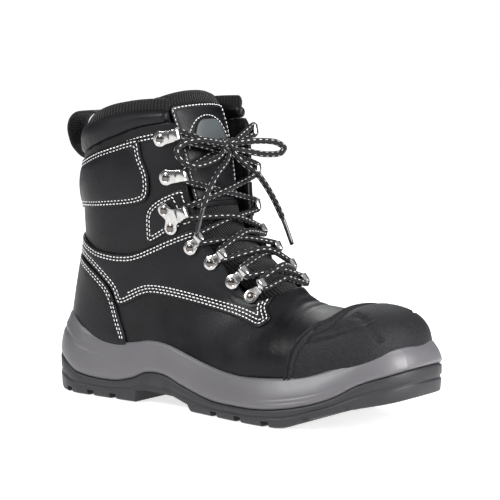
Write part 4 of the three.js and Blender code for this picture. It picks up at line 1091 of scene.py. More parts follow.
# Outsole
# The black rubber tread: a plate with a toe bumper and a heel step, hollowed under the arch, with
# lugs parted by grooves from each side and by chevrons across the middle.
GROOVES = [
    [0.085, 0.02, 0.2], [0.155, 0.02, 0.2], [0.225, 0.02, 0.2], [0.545, 0.02, 0.26],
    [0.62, 0.02, 0.3], [0.7, 0.02, 0.32], [0.795, 0.02, 0.3], [0.885, 0.018, 0.24],
]
TREAD_DEPTH = 5.0
black_rubber = clouded(
    "tread_rubber",
    (60, 5),
    (0.007, 0.007, 0.0085),
    (0.018, 0.018, 0.021),
    rough=(0.42, 0.62),
    bumps=[(1400, 3, 0.00012)],
    Specular_IOR_Level=0.4,
)
# share of the lower edge, share of the joint, lift, inset; the last two in millimetres
TREAD_ROWS = [
    [1, 0, 0, 2.4],
    [1, 0, 0.6, 1.32],
    [1, 0, 1.92, 0.72],
    [0.55, 0.45, 0.2, 0.12],
    [0.5, 0.5, 0.3, 0.9],
    [0.42, 0.58, 0.4, 0.9],
    [0.35, 0.65, 0, 0.06],
    [0, 1, -1.32, 0],
    [0, 1, -0.6, 0.3],
    [0, 1, 0, 1.2],
]


def tread_level(low, high, lift, inset):
    """The tread's height and inset on one of its levels"""

    def height_at(share):
        return low * side_row(share, 3) + high * side_row(share, 2) + lift

    def inset_at(share):
        return 0 * share + inset

    return height_at, inset_at


outsole = sole_solid("tread", [tread_level(*row) for row in TREAD_ROWS], black_rubber, 190)
arch = np.array([[0.29, -0.1], [0.302, 0.1], [0.33, 0.115], [0.42, 0.105], [0.465, 0.06], [0.49, -0.1]])
slots = []
for x_share, width, reach in GROOVES:
    edges_here = plan(np.array([x_share]))
    ground = float(side_row(np.array([x_share]), 3)[0])
    half, x = width * LENGTH / 2, x_share * LENGTH
    inner = []
    for edge in (float(edges_here[0][0]), float(edges_here[1][0])):
        inward = 1 if edge < 0 else -1
        slant = 0.2 * reach * BALL
        inside, outside = edge + inward * reach * BALL, edge - inward * 0.1 * BALL
        flat = [(x - half, outside), (x + half, outside)]
        flat += [(x + half + slant, inside), (x - half + slant, inside)]
        slots.append((flat, ground - TREAD_DEPTH, ground + 0.8 * TREAD_DEPTH))
        inner.append((x + slant, inside))
    for start_x, start_y in inner:
        tip_x, tip_y = start_x + 9, 0.25 * start_y
        flat = [(start_x - 1.6, start_y), (start_x + 1.6, start_y)]
        flat += [(tip_x + 1.6, tip_y), (tip_x - 1.6, tip_y)]
        slots.append((flat, ground - TREAD_DEPTH, ground + 0.5 * TREAD_DEPTH))
arch_cutter = prism_block("arch_cutter", [((arch * [LENGTH, INSTEP]).tolist(), -BALL, BALL)], True)
groove_cutter = prism_block("groove_cutter", slots[0::4] + slots[1::4])
chevron_cutter = prism_block("chevron_cutter", slots[2::4] + slots[3::4])
cut_by(outsole, arch_cutter, groove_cutter, chevron_cutter)
finished(outsole, ("BEVEL", {"width": 0.0004, "segments": 1, "limit_method": "ANGLE", "angle_limit": 0.7}))
bpy.ops.object.shade_smooth_by_angle(angle=0.6)
stands_for(outsole, "outsole")

# Footbed
# The loose insole inside the boot: a foam sheet under knitted cloth, dished a little at the heel.
footbed_cloth = leather("footbed_cloth", (0.008, 0.008, 0.009), (0.02, 0.02, 0.022), (), (0.8, 0.95), 0.0003)


def copied(node, name, material):
    """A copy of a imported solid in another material"""
    piece = bpy.data.objects.new(name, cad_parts[node].data.copy())
    scene.collection.objects.link(piece)
    piece.data.materials.clear()
    piece.data.materials.append(material)
    return piece


footbed = edited(copied("insole", "footbed", footbed_cloth), merge=0.00001)
remesh = "REMESH", {"mode": "VOXEL", "voxel_size": 0.0014}
finished(footbed, remesh, ("SMOOTH", {"factor": 0.5, "iterations": 6}))
footbed.data.polygons.foreach_set("use_smooth", [True] * len(footbed.data.polygons))
stands_for(footbed, "insole")

# Collar
# A padded roll of soft leather round the shaft's top edge, from one facing round the back to the
# other. It is foam under a wrapped skin, sewn down along its foot.
PAD = 11.0
ROLL_PROFILE = [
    [-0.7, 0.0], [0.02, 0.0], [0.2, 0.16], [0.26, 0.5], [0.16, 0.78], [-0.08, 0.96], [-0.4, 1.0],
    [-0.72, 0.94], [-0.92, 0.65], [-0.9, 0.18],
]
LINING_PROFILE = [[-0.78, 0.0], [-0.26, 0.0], [-0.22, 0.4], [-0.36, 0.85], [-0.6, 1.0], [-0.8, 0.7]]


def foot_places(around):
    """Where the roll's foot lies on the last"""
    high, low = np.zeros(len(around)), np.full(len(around), 0.5)
    for _ in range(30):
        middle = (high + low) / 2
        point = last_point(middle, around)
        above = point[:, 2] > topline(point[:, 0])[0]
        high, low = np.where(above, middle, high), np.where(above, low, middle)
    return low


def swept(name, rings, material):
    """A closed skin over rings, with flat fans at its ends and a UV map in metres"""
    rings = np.asarray(rings, float)
    count, size = rings.shape[:2]
    walked = walked_along(rings.mean(axis=1))
    ringed = np.concatenate([rings, rings[:, :1]], axis=1)
    gone = np.cumsum(np.linalg.norm(np.diff(ringed, axis=1), axis=2), axis=1)
    gone = np.concatenate([np.zeros((count, 1)), gone], axis=1)[:, :-1]
    pair = np.stack([np.repeat(walked[:, None], size, axis=1), gone], axis=-1).reshape(-1, 2) * 0.001
    faces = ring_faces(count, size)
    faces += [list(range(size - 1, -1, -1)), [(count - 1) * size + k for k in range(size)]]
    return edited(mesh_object(name, rings.reshape(-1, 3), faces, material, None, pair), outwards=True)


def collar_rings(profile, foot_and_top, stations=150, wrinkle=0.0):
    around = np.linspace(0.1, 0.9, 400)
    point = last_point(foot_places(around), around)
    clear = around[throat_field(*point.T) > 0.4]
    around = np.linspace(clear.min(), clear.max(), stations)
    spot, out, _, _ = last_frame(foot_places(around), around)
    ends = np.minimum(np.arange(stations), np.arange(stations)[::-1])
    pad = PAD * (0.45 + 0.55 * np.minimum(1, ends / (stations / 4)))
    taper = np.sqrt(np.clip(1 - (1 - np.minimum(1, (ends + 0.6) / 4)) ** 2, 0.02, 1))
    foot, top = foot_and_top(spot[:, 0])
    rings = []
    for k in range(stations):
        middle_out, middle_up = profile.mean(axis=0)
        shape = (profile - [middle_out, middle_up]) * taper[k] + [middle_out, middle_up]
        thick = np.where(shape[:, 0] < 0, shape[:, 0] * pad[k], shape[:, 0] * PAD)
        pucker = wrinkle * math.sin(k * 0.9 + 0.7 * math.sin(k * 0.31)) * np.clip(1 - shape[:, 1] * 2, 0, 1)
        level = foot[k] + shape[:, 1] * (top[k] - foot[k])
        rings.append(spot[k] + out[k] * (thick + pucker)[:, None] + np.outer(level, [0, 0, 1]))
    return rings


def roll_heights(x):
    return 0 * x + GAP, topline(x)[1]


def lining_heights(x):
    _, roll, lining = topline(x)
    return roll + GAP - 1.5, roll + lining + GAP


roll_profile = closed_smooth(ROLL_PROFILE, 4)
collar = swept("collar_roll", collar_rings(roll_profile, roll_heights, 170, 0.12), plain_leather)
stands_for(collar, "collar")
band_cloth = lining_cloth("band_cloth", (0.002, 0.002, 0.0024), (0.013, 0.013, 0.0135), ribs=2200)
band = swept("lining_band", collar_rings(closed_smooth(LINING_PROFILE, 4), lining_heights, 170), band_cloth)
stands_for(band, "collar_lining")

# Pull loop
# A strap of black webbing that arches from inside the collar over to the back seam, to pull the
# boot on by. Both its ends are sewn down.
LOOP_PATH = [
    [0.13, 0.9], [0.13, 0.938], [0.119, 0.96], [0.09, 0.97], [0.045, 0.966], [0.024, 0.945],
    [0.018, 0.91], [0.03, 0.86], [0.055, 0.828], [0.078, 0.817],
]
STRAP, STRAP_HALF = 2.0, 0.095 * BALL
strap_line = open_smooth(np.array(LOOP_PATH) * [LENGTH, COLLAR], 7)
strap_run = unit(np.gradient(strap_line, axis=0))
strap_out = np.stack([strap_run[:, 1], -strap_run[:, 0]], axis=-1)
STRAP_PROFILE = [(-1, 0.2), (-1, 0.8), (-0.96, 1), (-0.5, 1.06), (0, 1.08), (0.5, 1.06), (0.96, 1)]
STRAP_PROFILE += [(1, 0.8), (1, 0.2), (0.96, 0), (0.5, 0), (0, 0), (-0.5, 0), (-0.96, 0)]
strap_rings = []
for at, away in zip(strap_line, strap_out):
    strap_rings.append([])
    for wide, up in STRAP_PROFILE:
        x, z = at + away * STRAP * up
        strap_rings[-1].append((x, STRAP_HALF * wide, z))


def webbing():
    material, shader = new_material("black_webbing", Roughness=0.8, Sheen_Weight=0.1, Specular_IOR_Level=0.2)
    place = add_node(material, "ShaderNodeUVMap", {"uv_map": "UVMap"}).outputs["UV"]
    weft = bands(material, place, "X", 160.0, 0.4)
    share = calc(material, "MULTIPLY", weft, bands(material, place, "Y", 110.0, 0.4))
    wired(material, shader, Base_Color=mixed(material, share, (0.003, 0.003, 0.0035), (0.013, 0.013, 0.014)))
    bumped(material, shader, (share, 0.0005))
    return material


black_webbing = webbing()
pull_loop = swept("heel_pull_loop", strap_rings, black_webbing)
stands_for(pull_loop, "pull_loop")

# Tongue
# A padded tongue of ribbed mesh behind the laces, with a leather face sewn to its top and a bare
# half-round rubber plate on the leather.
# at, x, z, half, sag, thick, middle
TONGUE_ROWS = [
    [0, 0.372, 1.062, 0.28, 0.07, 0.05, -0.02],
    [1, 0.38, 1.045, 0.33, 0.09, 0.08, -0.01],
    [2, 0.398, 0.975, 0.345, 0.11, 0.085, 0.01],
    [3, 0.416, 0.88, 0.345, 0.11, 0.07, 0.015],
    [4, 0.43, 0.77, 0.335, 0.1, 0.06, 0.015],
    [5, 0.444, 0.67, 0.31, 0.09, 0.055, 0.012],
    [6, 0.476, 0.588, 0.28, 0.085, 0.05, 0.01],
    [7, 0.533, 0.528, 0.26, 0.08, 0.045, 0.008],
    [8, 0.588, 0.475, 0.24, 0.075, 0.045, 0.006],
    [9, 0.638, 0.42, 0.22, 0.07, 0.04, 0.005],
    [10, 0.683, 0.372, 0.19, 0.06, 0.035, 0.005],
]


def tongue_point(down, across, lift):
    """Points on the tongue's front: down counts rows from the top, across runs from -1 to 1"""
    down, across, lift = (np.asarray(v, float).ravel() for v in np.broadcast_arrays(down, across, lift))
    row = curve(TONGUE_ROWS, down)
    a, b = curve(TONGUE_ROWS, np.maximum(0, down - 0.05)), curve(TONGUE_ROWS, np.minimum(10, down + 0.05))
    out = unit(np.stack([(a[:, 2] - b[:, 2]) * COLLAR, 0 * down, (b[:, 1] - a[:, 1]) * LENGTH], axis=-1))
    y = (row[:, 6] + across * row[:, 3]) * BALL
    middle = np.stack([row[:, 1] * LENGTH, y, row[:, 2] * COLLAR], axis=-1)
    return middle + out * (lift - row[:, 4] * BALL * np.abs(across) ** 2.2)[:, None]


def inside_wall(point, room):
    """Pushes points in, where they would stand in the upper's wall"""
    tree = KDTree(len(coarse_skin.point))
    for k, p in enumerate(coarse_skin.point):
        tree.insert(p, k)
    tree.balance()
    moved = point.copy()
    for k, p in enumerate(point):
        _, near, _ = tree.find(p)
        out = coarse_skin.out[near]
        excess = (p - coarse_skin.point[near]) @ out + room
        if excess > 0 and p[2] < 1.1 * COLLAR:
            moved[k] = p - out * excess
    return moved


def tongue_body():
    rings = []
    for down in np.concatenate([[0, 0.02, 0.06], np.linspace(0.12, 10, 120)]):
        across = np.linspace(-1, 1, 31)
        thick = curve(TONGUE_ROWS, down)[0, 5] * BALL
        edge = np.sqrt(np.clip(1 - np.abs(across) ** 8, 0.02, 1))
        crown = min(1, math.sqrt(1 - (1 - min(1, (down + 0.015) / 0.25)) ** 2))
        sag = (1 - crown) * thick / 2
        front = tongue_point(down, across, -sag - (1 - edge) * thick / 2)
        back = tongue_point(down, across, -thick + sag + (1 - edge) * thick / 2)
        ring = np.concatenate([front, back[::-1]])
        rings.append(inside_wall(ring, WALL + GAP) if down > 0.5 else ring)
    return rings


tongue_cloth = lining_cloth("tongue_cloth", (0.002, 0.002, 0.0024), (0.013, 0.0125, 0.0125), 2600, "Y")
tongue = swept("tongue_padding", tongue_body(), tongue_cloth)
stands_for(tongue, "tongue")

PATCH, PATCH_LIFT = 1.2, 2.5 * GAP


def tongue_sheet(name, downs, lift, width_at, material, dome=0.0):
    """A thin sheet on the tongue's front; its edge distance is kept for the pillowed, stitched edge"""
    corners, inward, pair = [], [], []
    count = 33
    across = np.linspace(-1, 1, count)
    first, last = downs[0], downs[-1]
    for down in downs:
        t = (down - first) / (last - first)
        wide = width_at(t)
        half = curve(TONGUE_ROWS, down)[0, 3] * BALL
        side = (1 - np.abs(across)) * wide * half
        ends = min(t, 1 - t) * (last - first) * 20
        near = np.minimum(side, ends)
        corners.append(tongue_point(down, across * wide, lift + PATCH + dome * (1 - np.exp(-near / 1.5))))
        inward.append(near)
        pair.append(np.stack([across * wide * half, np.full(count, down * 20)], axis=-1) / 1000)
    faces = []
    for r in range(len(downs) - 1):
        for k in range(count - 1):
            a = r * count + k
            faces.append([a, a + count, a + count + 1, a + 1])
    kept = {"edge": np.concatenate(inward)}
    piece = mesh_object(name, np.vstack(corners), faces, material, kept, np.vstack(pair))
    return finished(piece, walled(PATCH))


def patch_width(t):
    return (0.78 - 0.1 * t) * (1 - 0.1 * max(0, 1 - t / 0.06) ** 2)


def badge_width(t):
    return 0.14 + 0.31 * math.sqrt(1 - (1 - t) ** 2)


patch = tongue_sheet("tongue_leather", np.linspace(1.5, 5, 90), PATCH_LIFT, patch_width, black_leather)
stands_for(patch, "tongue_patch")


badge_rubber = clouded(
    "badge_rubber",
    (90, 3),
    (0.03, 0.036, 0.038),
    (0.058, 0.068, 0.07),
    rough=(0.45, 0.6),
    wear=(1100, 3),
    bumps=[(1100, 3, 0.0001)],
    Specular_IOR_Level=0.5,
)
badge_lift = PATCH_LIFT + PATCH + GAP
badge = tongue_sheet("tongue_plate", np.linspace(2.2, 3.1, 36), badge_lift, badge_width, badge_rubber, 0.3)
stands_for(badge, "tongue_badge")


def tongue_seam(path):
    """A seam on the tongue's leather face through (down, across) points"""
    line = open_smooth(path, 10)
    point = tongue_point(line[:, 0], line[:, 1], PATCH_LIFT + PATCH + 0.25)
    above = tongue_point(line[:, 0], line[:, 1], PATCH_LIFT + PATCH + 1.25)
    return point, unit(above - point)


turns = np.linspace(-1, 1, 13) * math.pi / 2
arc = [(3.15 - 1.12 * math.cos(t), 0.58 * math.sin(t)) for t in turns]
one_side = [(4.9, 0.62), (3, 0.68), (1.8, 0.72), (1.62, 0.66)]
around_face = [(down, -across) for down, across in one_side] + [(1.6, 0)] + one_side[::-1]
tongue_rows = [tongue_seam(arc), tongue_seam(around_face)]
sew("tongue_stitching", tongue_rows)

# Lace hardware
# Nickel-plated steel, riveted through the facings: two pairs of open hooks, a pair of wide hooks with
# two rivets, and four pairs of closed loops further down. Each is stamped, bent and polished.
METAL = 1.2
# kind, x, z, toX, toZ, lift on the outer side, lift on the inner side
HARDWARE = [
    ["hook", 0.381, 0.902, 0.432, 0.92, 0.3, 0.3],
    ["hook", 0.394, 0.774, 0.446, 0.786, 0.3, 0.3],
    ["cleat", 0.395, 0.636, 0.446, 0.665, 1.6, 1.6],
    ["loop", 0.448, 0.542, 0.468, 0.572, 2.68, 2.68],
    ["loop", 0.496, 0.494, 0.52, 0.52, 2.2, 2.68],
    ["loop", 0.549, 0.435, 0.572, 0.465, 2.68, 2.68],
    ["loop", 0.596, 0.389, 0.616, 0.418, 2.68, 2.68],
]


def place_on(x, z, side):
    """Along and around of the place on one side of the last that lies at x and z"""
    along, around, reach = 0.95, 0.25 if side < 0 else 0.75, 0.93
    swing = 0.24
    for count in (60, 9, 9, 9, 9, 9, 9):
        alongs = along + np.linspace(-reach, reach, count)
        arounds = around + np.linspace(-swing, swing, count)
        a, r = np.meshgrid(alongs, arounds, indexing="ij")
        p = last_point(np.clip(a, 0, 1.98).ravel(), r.ravel())
        best = np.argmin(np.hypot(p[:, 0] - x, p[:, 2] - z))
        along, around = float(np.clip(a.ravel()[best], 0, 1.98)), float(r.ravel()[best])
        reach, swing = 2.2 * reach / count, 2.2 * swing / count
    return along, around


def seat(x, z, to_x, to_z, side, lift):
    """Axes at a place on the boot's side: forward runs from the rivet to the mouth"""
    spot = place_on(x * LENGTH, z * COLLAR, side)
    goal = place_on(to_x * LENGTH, to_z * COLLAR, side)
    point, out, _, _ = last_frame(*spot)
    way = last_point(*goal) - point
    forward = unit(way - out * (way @ out))
    across = np.cross(out, forward)
    return point + out * lift, np.array([forward, across, out]), float(np.linalg.norm(way))


def metal(name, dark, light):
    return clouded(name, (260, 4), dark, light, (0.12, 0.24), bumps=[(500, 3, 0.00004)], Metallic=1.0)


nickel_plate = metal("nickel_plate", (0.3, 0.29, 0.285), (0.55, 0.54, 0.53))
rivet_metal = metal("rivet_metal", (0.075, 0.066, 0.06), (0.17, 0.15, 0.14))


def stamped(outline, low, high, edge, material=nickel_plate):
    """A flat piece of metal cut to an outline, in its own millimetres, with rounded edges"""
    bpy.ops.object.select_all(action="DESELECT")
    bpy.ops.mesh.primitive_circle_add(vertices=len(outline), radius=1, fill_type="NGON")
    piece = bpy.context.object
    piece.data.materials.append(material)
    for corner, (u, v) in zip(piece.data.vertices, outline):
        corner.co = (u, v, low)
    bpy.ops.object.mode_set(mode="EDIT")
    bpy.ops.mesh.select_all(action="SELECT")
    bpy.ops.mesh.extrude_region_move(TRANSFORM_OT_translate={"value": (0, 0, high - low)})
    bpy.ops.mesh.select_all(action="SELECT")
    bpy.ops.mesh.normals_make_consistent(inside=False)
    bpy.ops.object.mode_set(mode="OBJECT")
    if edge:
        bevel = {"width": edge, "segments": 2, "limit_method": "ANGLE", "angle_limit": 0.7}
        finished(piece, ("BEVEL", bevel))
    return piece


def turned_up(piece):
    """Stands a stamped piece on edge: its second axis becomes the height, its thickness lies across"""
    for corner in piece.data.vertices:
        u, w, v = corner.co
        corner.co = (u, -v, w)
    return piece


def ribbon(line, thick):
    """The outline of a strip of metal seen from its edge"""
    line = open_smooth(line, 5)
    run = unit(np.gradient(line, axis=0))
    side = np.stack([-run[:, 1], run[:, 0]], axis=-1) * thick / 2
    return [tuple(p) for p in np.vstack([line + side, (line - side)[::-1]])]


def rivet_head(v, radius):
    """A domed rivet with a rolled rim"""
    bpy.ops.object.select_all(action="DESELECT")
    bpy.ops.mesh.primitive_uv_sphere_add(segments=20, ring_count=12, radius=radius, location=(0, v, METAL))
    dome = bpy.context.object
    dome.data.materials.append(rivet_metal)
    bpy.ops.object.mode_set(mode="EDIT")
    bpy.ops.mesh.select_all(action="SELECT")
    bpy.ops.transform.resize(value=(0.8, 0.8, 0.3), center_override=(0, v, METAL))
    bpy.ops.object.mode_set(mode="OBJECT")
    bpy.ops.mesh.primitive_torus_add(
        major_segments=22,
        minor_segments=8,
        major_radius=0.88 * radius,
        minor_radius=0.42,
        location=(0, v, METAL + 0.1),
    )
    rim = bpy.context.object
    rim.data.materials.append(nickel_plate)
    return [dome, rim]


def joined(pieces, name):
    """Joins pieces into one mesh at the origin, shaded smooth but for its sharp edges"""
    choose(*pieces)
    bpy.ops.object.transform_apply(location=True, rotation=True, scale=True)
    bpy.ops.object.join()
    piece = bpy.context.object
    piece.name = name
    bpy.ops.object.shade_smooth_by_angle(angle=0.7)
    return piece


def smoothed_outline(rows, steps=4):
    return [tuple(p) for p in closed_smooth(rows, steps)]


NOMINAL = 1.5 * HOOK


def hook_pattern(wide):
    neck = NOMINAL / HOOK - 0.27
    tip = [[neck - 0.1, -0.34], [neck + 0.05, 0], [neck - 0.1, 0.34]]
    plate = [[-0.5, 0], [-0.36, -0.36], [0, -0.5], [0.35, -0.42]]
    plate += [*tip, [0.35, 0.42], [0, 0.5], [-0.36, 0.36]]
    if wide:
        rear = [[-0.15, 0], [-0.42, -0.5], [-0.36, -0.88], [0, -1.05], [0.36, -0.88]]
        plate = [*rear, [0.55, -0.5], *tip, [0.55, 0.5], *[[u, -v] for u, v in rear[:0:-1]]]
    base = stamped([(u * HOOK, v * HOOK) for u, v in smoothed_outline(plate)], 0, METAL, 0.35)
    bend = [[-0.5, 0.06], [-0.2, 0.07], [0.02, 0.12], [0.1, 0.32], [0, 0.52]]
    bend += [[-0.22, 0.58], [-0.5, 0.57], [-0.62, 0.63]]
    curl_line = [[NOMINAL + u * HOOK, w * HOOK] for u, w in bend]
    curl = turned_up(stamped(ribbon(curl_line, 1.0), -0.34 * HOOK, 0.34 * HOOK, 0.3))
    heads = []
    for v in (-0.6, 0.6) if wide else (0,):
        heads += rivet_head(v * HOOK, 0.32 * HOOK)
    return joined([base, curl, *heads], "hook_pattern")


def loop_pattern():
    neck = NOMINAL / HOOK - 0.18
    tip = [[neck, -0.28], [neck + 0.1, 0], [neck, 0.28]]
    foot = [[-0.46, 0], [-0.33, -0.33], [0, -0.46], [0.33, -0.36]]
    foot += [*tip, [0.33, 0.36], [0, 0.46], [-0.33, 0.33]]
    base = stamped([(u * HOOK, v * HOOK) for u, v in smoothed_outline(foot)], 0, METAL, 0.35)
    rim = [[-0.4, 0.04], [0.1, 0], [0.33, 0.08], [0.44, 0.28]]
    rim += [[0.34, 0.5], [0.13, 0.58], [-0.1, 0.48], [-0.22, 0.2]]
    eye_outline = [(NOMINAL + u * HOOK, w * HOOK) for u, w in smoothed_outline(rim)]
    eye = turned_up(stamped(eye_outline, -0.29 * HOOK, 0.29 * HOOK, 0.4))
    bpy.ops.object.select_all(action="DESELECT")
    spot, sideways = (NOMINAL + 0.13 * HOOK, 0, 0.3 * HOOK), (math.pi / 2, 0, 0)
    bpy.ops.mesh.primitive_cylinder_add(
        vertices=28, radius=2.35, depth=2 * HOOK, location=spot, rotation=sideways
    )
    drill = bpy.context.object
    cut_by(eye, drill)
    return joined([base, eye, *rivet_head(0, 0.32 * HOOK)], "loop_pattern")


patterns = {"hook": hook_pattern(False), "cleat": hook_pattern(True), "loop": loop_pattern()}
mouths = {}
for k, (kind, x, z, to_x, to_z, outer_lift, inner_lift) in enumerate(HARDWARE):
    for side, hand, lift in ((-1, "lateral", outer_lift), (1, "medial", inner_lift)):
        origin, axes, reach = seat(x, z, to_x, to_z, side, lift)
        mesh = patterns[kind].data.copy()
        local = np.zeros(3 * len(mesh.vertices))
        mesh.vertices.foreach_get("co", local)
        local = local.reshape(-1, 3)
        local[:, 0] = np.interp(
            local[:, 0],
            [-HOOK, 0.4 * HOOK, NOMINAL - 0.6 * HOOK, NOMINAL + HOOK],
            [-HOOK, 0.4 * HOOK, reach - 0.6 * HOOK, reach + HOOK],
        )
        spots = (origin + local @ axes - [ORIGIN_X, 0, 0]) / 1000
        mesh.vertices.foreach_set("co", spots.ravel())
        mesh.update()
        node = kind + "_" + str(k + 1) + "_" + hand
        piece = bpy.data.objects.new("nickel_" + node, mesh)
        scene.collection.objects.link(piece)
        stands_for(piece, node)
        clear, high = (0.13, 0.3) if kind == "loop" else (-0.14, 0.32)
        mouths[k, side] = origin + axes[0] * (reach + clear * HOOK) + axes[2] * high * HOOK, axes
for pattern in patterns.values():
    bpy.data.objects.remove(pattern)


# Laces
# One round braided lace, black with white flecks, runs through every loop and round every hook, with
# a bar at the foot and a cross at each step, and is tied at the top.
def braid():
    material, shader = new_material("flecked_braid", Roughness=0.75, Specular_IOR_Level=0.15)
    place = add_node(material, "ShaderNodeUVMap", {"uv_map": "UVMap"}).outputs["UV"]
    parts = add_node(material, "ShaderNodeSeparateXYZ", None, Vector=place)
    along, around = parts.outputs["X"], parts.outputs["Y"]
    turns = calc(material, "MULTIPLY", around, 8 * math.pi)
    steps = calc(material, "MULTIPLY", along, 1900.0)
    one = calc(material, "SINE", calc(material, "ADD", steps, turns))
    other = calc(material, "SINE", calc(material, "SUBTRACT", steps, turns))
    weave = calc(material, "MULTIPLY_ADD", calc(material, "MULTIPLY", one, other), 0.5, 0.5)
    quarters = calc(material, "MULTIPLY", around, 4.0)
    row = calc(material, "COMPARE", calc(material, "FRACT", quarters), 0.5, 0.08)
    run = calc(material, "MULTIPLY", along, 190.0)
    shifted = calc(material, "MULTIPLY_ADD", calc(material, "FLOOR", quarters), 0.37, run)
    fleck = calc(material, "COMPARE", calc(material, "FRACT", shifted), 0.5, 0.2)
    marks = calc(material, "MULTIPLY", row, fleck)
    base = mixed(material, weave, (0.004, 0.004, 0.0045), (0.02, 0.02, 0.022))
    white = (0.5, 0.5, 0.48, 1)
    tint = add_node(material, "ShaderNodeMix", {"data_type": "RGBA"}, _0=marks, _6=base, _7=white)
    wired(material, shader, Base_Color=tint.outputs[2])
    bumped(material, shader, (weave, 0.0004))
    return material


flecked_braid = braid()


def even_line(points, gap):
    """A smooth line through points, in even steps"""
    line = open_smooth(points, 10)
    walked = walked_along(line)
    at = np.linspace(0, walked[-1], max(4, int(walked[-1] / gap)))
    return at_lengths(at, walked, line), at


def tube(name, points, radius, material, radius_at=None):
    """A round cord along points, with its length and its turn kept as a UV map"""
    sides = 12
    line, at = even_line(points, 0.9)
    run = unit(np.gradient(line, axis=0))
    side = unit(np.cross(run[0], [0.3, 0.1, 1.0]))
    corners = []
    for k, spot in enumerate(line):
        side = unit(side - run[k] * (side @ run[k]))
        up = np.cross(run[k], side)
        width = radius if radius_at is None else radius_at(at[k], at[-1])
        for n in range(sides):
            turn = 2 * math.pi * n / sides
            corners.append(spot + (side * math.cos(turn) + up * math.sin(turn)) * width)
    faces, pair = ring_faces(len(line), sides), []
    for r in range(len(line) - 1):
        for n in range(sides):
            here, there = at[r] / 1000, at[r + 1] / 1000
            low, high = n / sides, (n + 1) / sides
            pair += [here, low, here, high, there, high, there, low]
    faces += [list(range(sides - 1, -1, -1)), [(len(line) - 1) * sides + n for n in range(sides)]]
    for end in (0.0, at[-1] / 1000):
        pair += [end, 0.1] * sides
    piece = mesh_object(name, corners, faces, material)
    layer = piece.data.uv_layers.new(name="UVMap")
    layer.data.foreach_set("uv", np.array(pair, np.float32))
    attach(piece, "boot")
    return piece, float(at[-1])


def over_tongue(a, b, lift):
    """The middle of a strand, lifted off the tongue"""
    middle = (a + b) / 2
    downs = np.linspace(0, 10, 201)
    ridge = tongue_point(downs, 0, 0)
    nearest = downs[np.argmin(np.hypot(ridge[:, 0] - middle[0], ridge[:, 2] - middle[2]))]
    return tongue_point(nearest, 0, lift)[0]


def through(k, side):
    """Three places on the lace's way through a loop or round a hook, from below to above"""
    spot, axes = mouths[k, side]
    up = axes[1] * np.sign(axes[1][2])
    reach = 3.4
    inwards = -0.9 if HARDWARE[k][0] == "loop" else 0.3
    return [spot - up * reach + axes[0] * inwards, spot, spot + up * reach + axes[0] * inwards]


KNOT_PLACE = np.array([0.464 * LENGTH, 0.012 * BALL, 0.87 * COLLAR])
FOOT = len(HARDWARE) - 1
LOW_STRAND, HIGH_STRAND = 0.5 * LACE + 1.4, 1.5 * LACE + 1.6


def lacing_route(side):
    """From the middle of the bar at the foot up to the knot, changing sides at each step"""
    bar = over_tongue(mouths[FOOT, -1][0], mouths[FOOT, 1][0], LOW_STRAND)
    route = [bar + [0, side * 0.4, 0]]
    for k in range(FOOT, -1, -1):
        route += through(k, side)
        if k:
            lift = LOW_STRAND if (side < 0) == bool(k % 2) else HIGH_STRAND
            route.append(over_tongue(mouths[k, side][0], mouths[k - 1, -side][0], lift))
            side = -side
    route.append(KNOT_PLACE + [-2, side * 5, 0])
    return route


for name, side in (("lacing_outer", -1), ("lacing_inner", 1)):
    route = lacing_route(side)
    lacing, long = tube(name, route, LACE / 2, flecked_braid)
    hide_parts("lace_bars")

# Bow
# The lace's two loops and two loose ends, and the knot that holds them. Both ends are crimped in
# black plastic tips.
turns = np.linspace(0, 2 * math.pi, 61)[:-1]
knot_wide = 2.9 * (np.sin(turns) + 2 * np.sin(2 * turns))
knot_high = 2.1 * (np.cos(turns) - 2 * np.cos(2 * turns))
knot_line = KNOT_PLACE + np.stack([-2.1 * np.sin(3 * turns), knot_wide, knot_high], axis=-1)
knot, _ = tube("bow_knot", np.vstack([knot_line, knot_line[:2]]), LACE / 2, flecked_braid)
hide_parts("lace_knot")
# shares of LENGTH, BALL and COLLAR
BOW = {
    "loop_left": [
        [0.468, -0.03, 0.884], [0.474, -0.1, 0.888], [0.47, -0.25, 0.9], [0.455, -0.37, 0.893],
        [0.452, -0.44, 0.87], [0.464, -0.44, 0.838], [0.477, -0.34, 0.817], [0.48, -0.17, 0.832],
        [0.474, -0.08, 0.85], [0.462, -0.03, 0.858],
    ],
    "loop_right": [
        [0.468, 0.05, 0.88], [0.478, 0.115, 0.884], [0.492, 0.24, 0.886], [0.505, 0.36, 0.88],
        [0.512, 0.43, 0.86], [0.508, 0.4, 0.84], [0.496, 0.28, 0.84], [0.48, 0.14, 0.854],
        [0.468, 0.06, 0.862],
    ],
    "end_left": [
        [0.472, 0, 0.855], [0.482, -0.06, 0.825], [0.494, -0.19, 0.79], [0.498, -0.28, 0.745],
        [0.498, -0.345, 0.685], [0.49, -0.39, 0.59],
    ],
    "end_right": [
        [0.474, 0.03, 0.855], [0.486, 0.085, 0.818], [0.502, 0.2, 0.77], [0.515, 0.29, 0.7],
        [0.53, 0.35, 0.62], [0.552, 0.37, 0.53],
    ],
}
TIP = 20.0


black_tip = clouded(
    "tip_plastic",
    (300, 2),
    (0.008, 0.008, 0.009),
    (0.02, 0.02, 0.022),
    Roughness=0.22,
    Coat_Weight=0.4,
)


def strand_width(at, whole):
    """Half the width of a loose end: thinner where its tip is crimped on"""
    return LACE / 2 - 0.75 * np.clip((at - whole + TIP + 2) / 3, 0, 1)


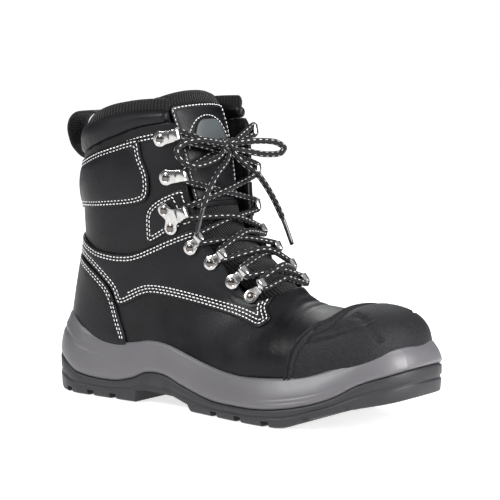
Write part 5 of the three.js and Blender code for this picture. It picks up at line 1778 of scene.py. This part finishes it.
for name, rows in BOW.items():
    route = np.array(rows) * [LENGTH, BALL, COLLAR]
    loose = name.startswith("end")
    strand, long = tube("bow_" + name, route, LACE / 2, flecked_braid, strand_width if loose else None)
    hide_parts("lace_" + name)
    if loose:
        line, at = even_line(route, 0.5)
        tip_line = line[at > at[-1] - TIP]
        tip, _ = tube("tip_" + name, tip_line[::4], 1.65, black_tip)
    end = "fitting" if loose else "knot"

# Zip
# A zip down the inner side, set flush between the leather panels: a woven tape, two rows of moulded
# teeth that mesh, and a nickel slider at the top with a flat pull.
zip_cloth = lining_cloth("zip_cloth", (0.004, 0.004, 0.0045), (0.02, 0.02, 0.022), ribs=1500)
tape = panel("zip_tape_cloth", fine_skin, zip_field(fine_skin, 0), GAP, 1.2, zip_cloth)
stands_for(tape, "zip_tape")
TOOTH_PITCH = 1.5
zip_foot, zip_top = np.array(ZIP_FOOT) * [LENGTH, COLLAR], np.array(ZIP_TOP) * [LENGTH, COLLAR]
zip_length = float(np.linalg.norm(zip_top - zip_foot))
line_shares = np.linspace(0.004, 0.99, 24)
track = [place_on(*(zip_foot + (zip_top - zip_foot) * t), 1) for t in line_shares]
TOOTH = [(-0.5, -2.1), (0.5, -2.1), (0.55, 0.6), (0.3, 1.0), (-0.3, 1.0), (-0.55, 0.6)]
corners, faces = [], []
for n in range(int(zip_length / TOOTH_PITCH * 2)):
    t = 0.01 + n * TOOTH_PITCH / 2 / zip_length
    if t > 0.985:
        break
    hand = 1 if n % 2 else -1
    along, around = (np.interp(t, line_shares, places) for places in zip(*track))
    point, out, up, across = last_frame(along, around)
    base = len(corners)
    for level, size in ((1.0, 1.0), (1.9, 1.0), (2.2, 0.8)):
        for a, s in TOOTH:
            step = up * (a * TOOTH_PITCH * 0.42 * size) - across * hand * (s * size)
            corners.append(point + step + out * level)
    for layer in range(2):
        for k in range(6):
            m = (k + 1) % 6
            a, b = base + 6 * layer + k, base + 6 * layer + m
            faces.append([a, b, b + 6, a + 6] if hand > 0 else [b, a, a + 6, b + 6])
    top = [base + 12 + k for k in range(6)]
    faces.append(top if hand > 0 else top[::-1])
    bottom = [base + k for k in range(6)]
    faces.append(bottom[::-1] if hand > 0 else bottom)
teeth = mesh_object("zip_teeth", corners, faces, grain_mould)
teeth.data.polygons.foreach_set("use_smooth", [False] * len(teeth.data.polygons))
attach(teeth, "boot")

for node, name, body, edge in (
    ("zip_slider", "nickel_slider", "boot", 0.25),
    ("zip_pull", "nickel_pull", "pull_tab", 0.3),
):
    piece = edited(copied(node, name, nickel_plate), merge=0.00001, flatten=0.05)
    bevel = {"width": edge / 1000, "segments": 3, "limit_method": "ANGLE", "angle_limit": 0.6}
    finished(piece, ("BEVEL", bevel))
    bpy.ops.object.shade_smooth_by_angle(angle=0.6)
    stands_for(piece, node, body)
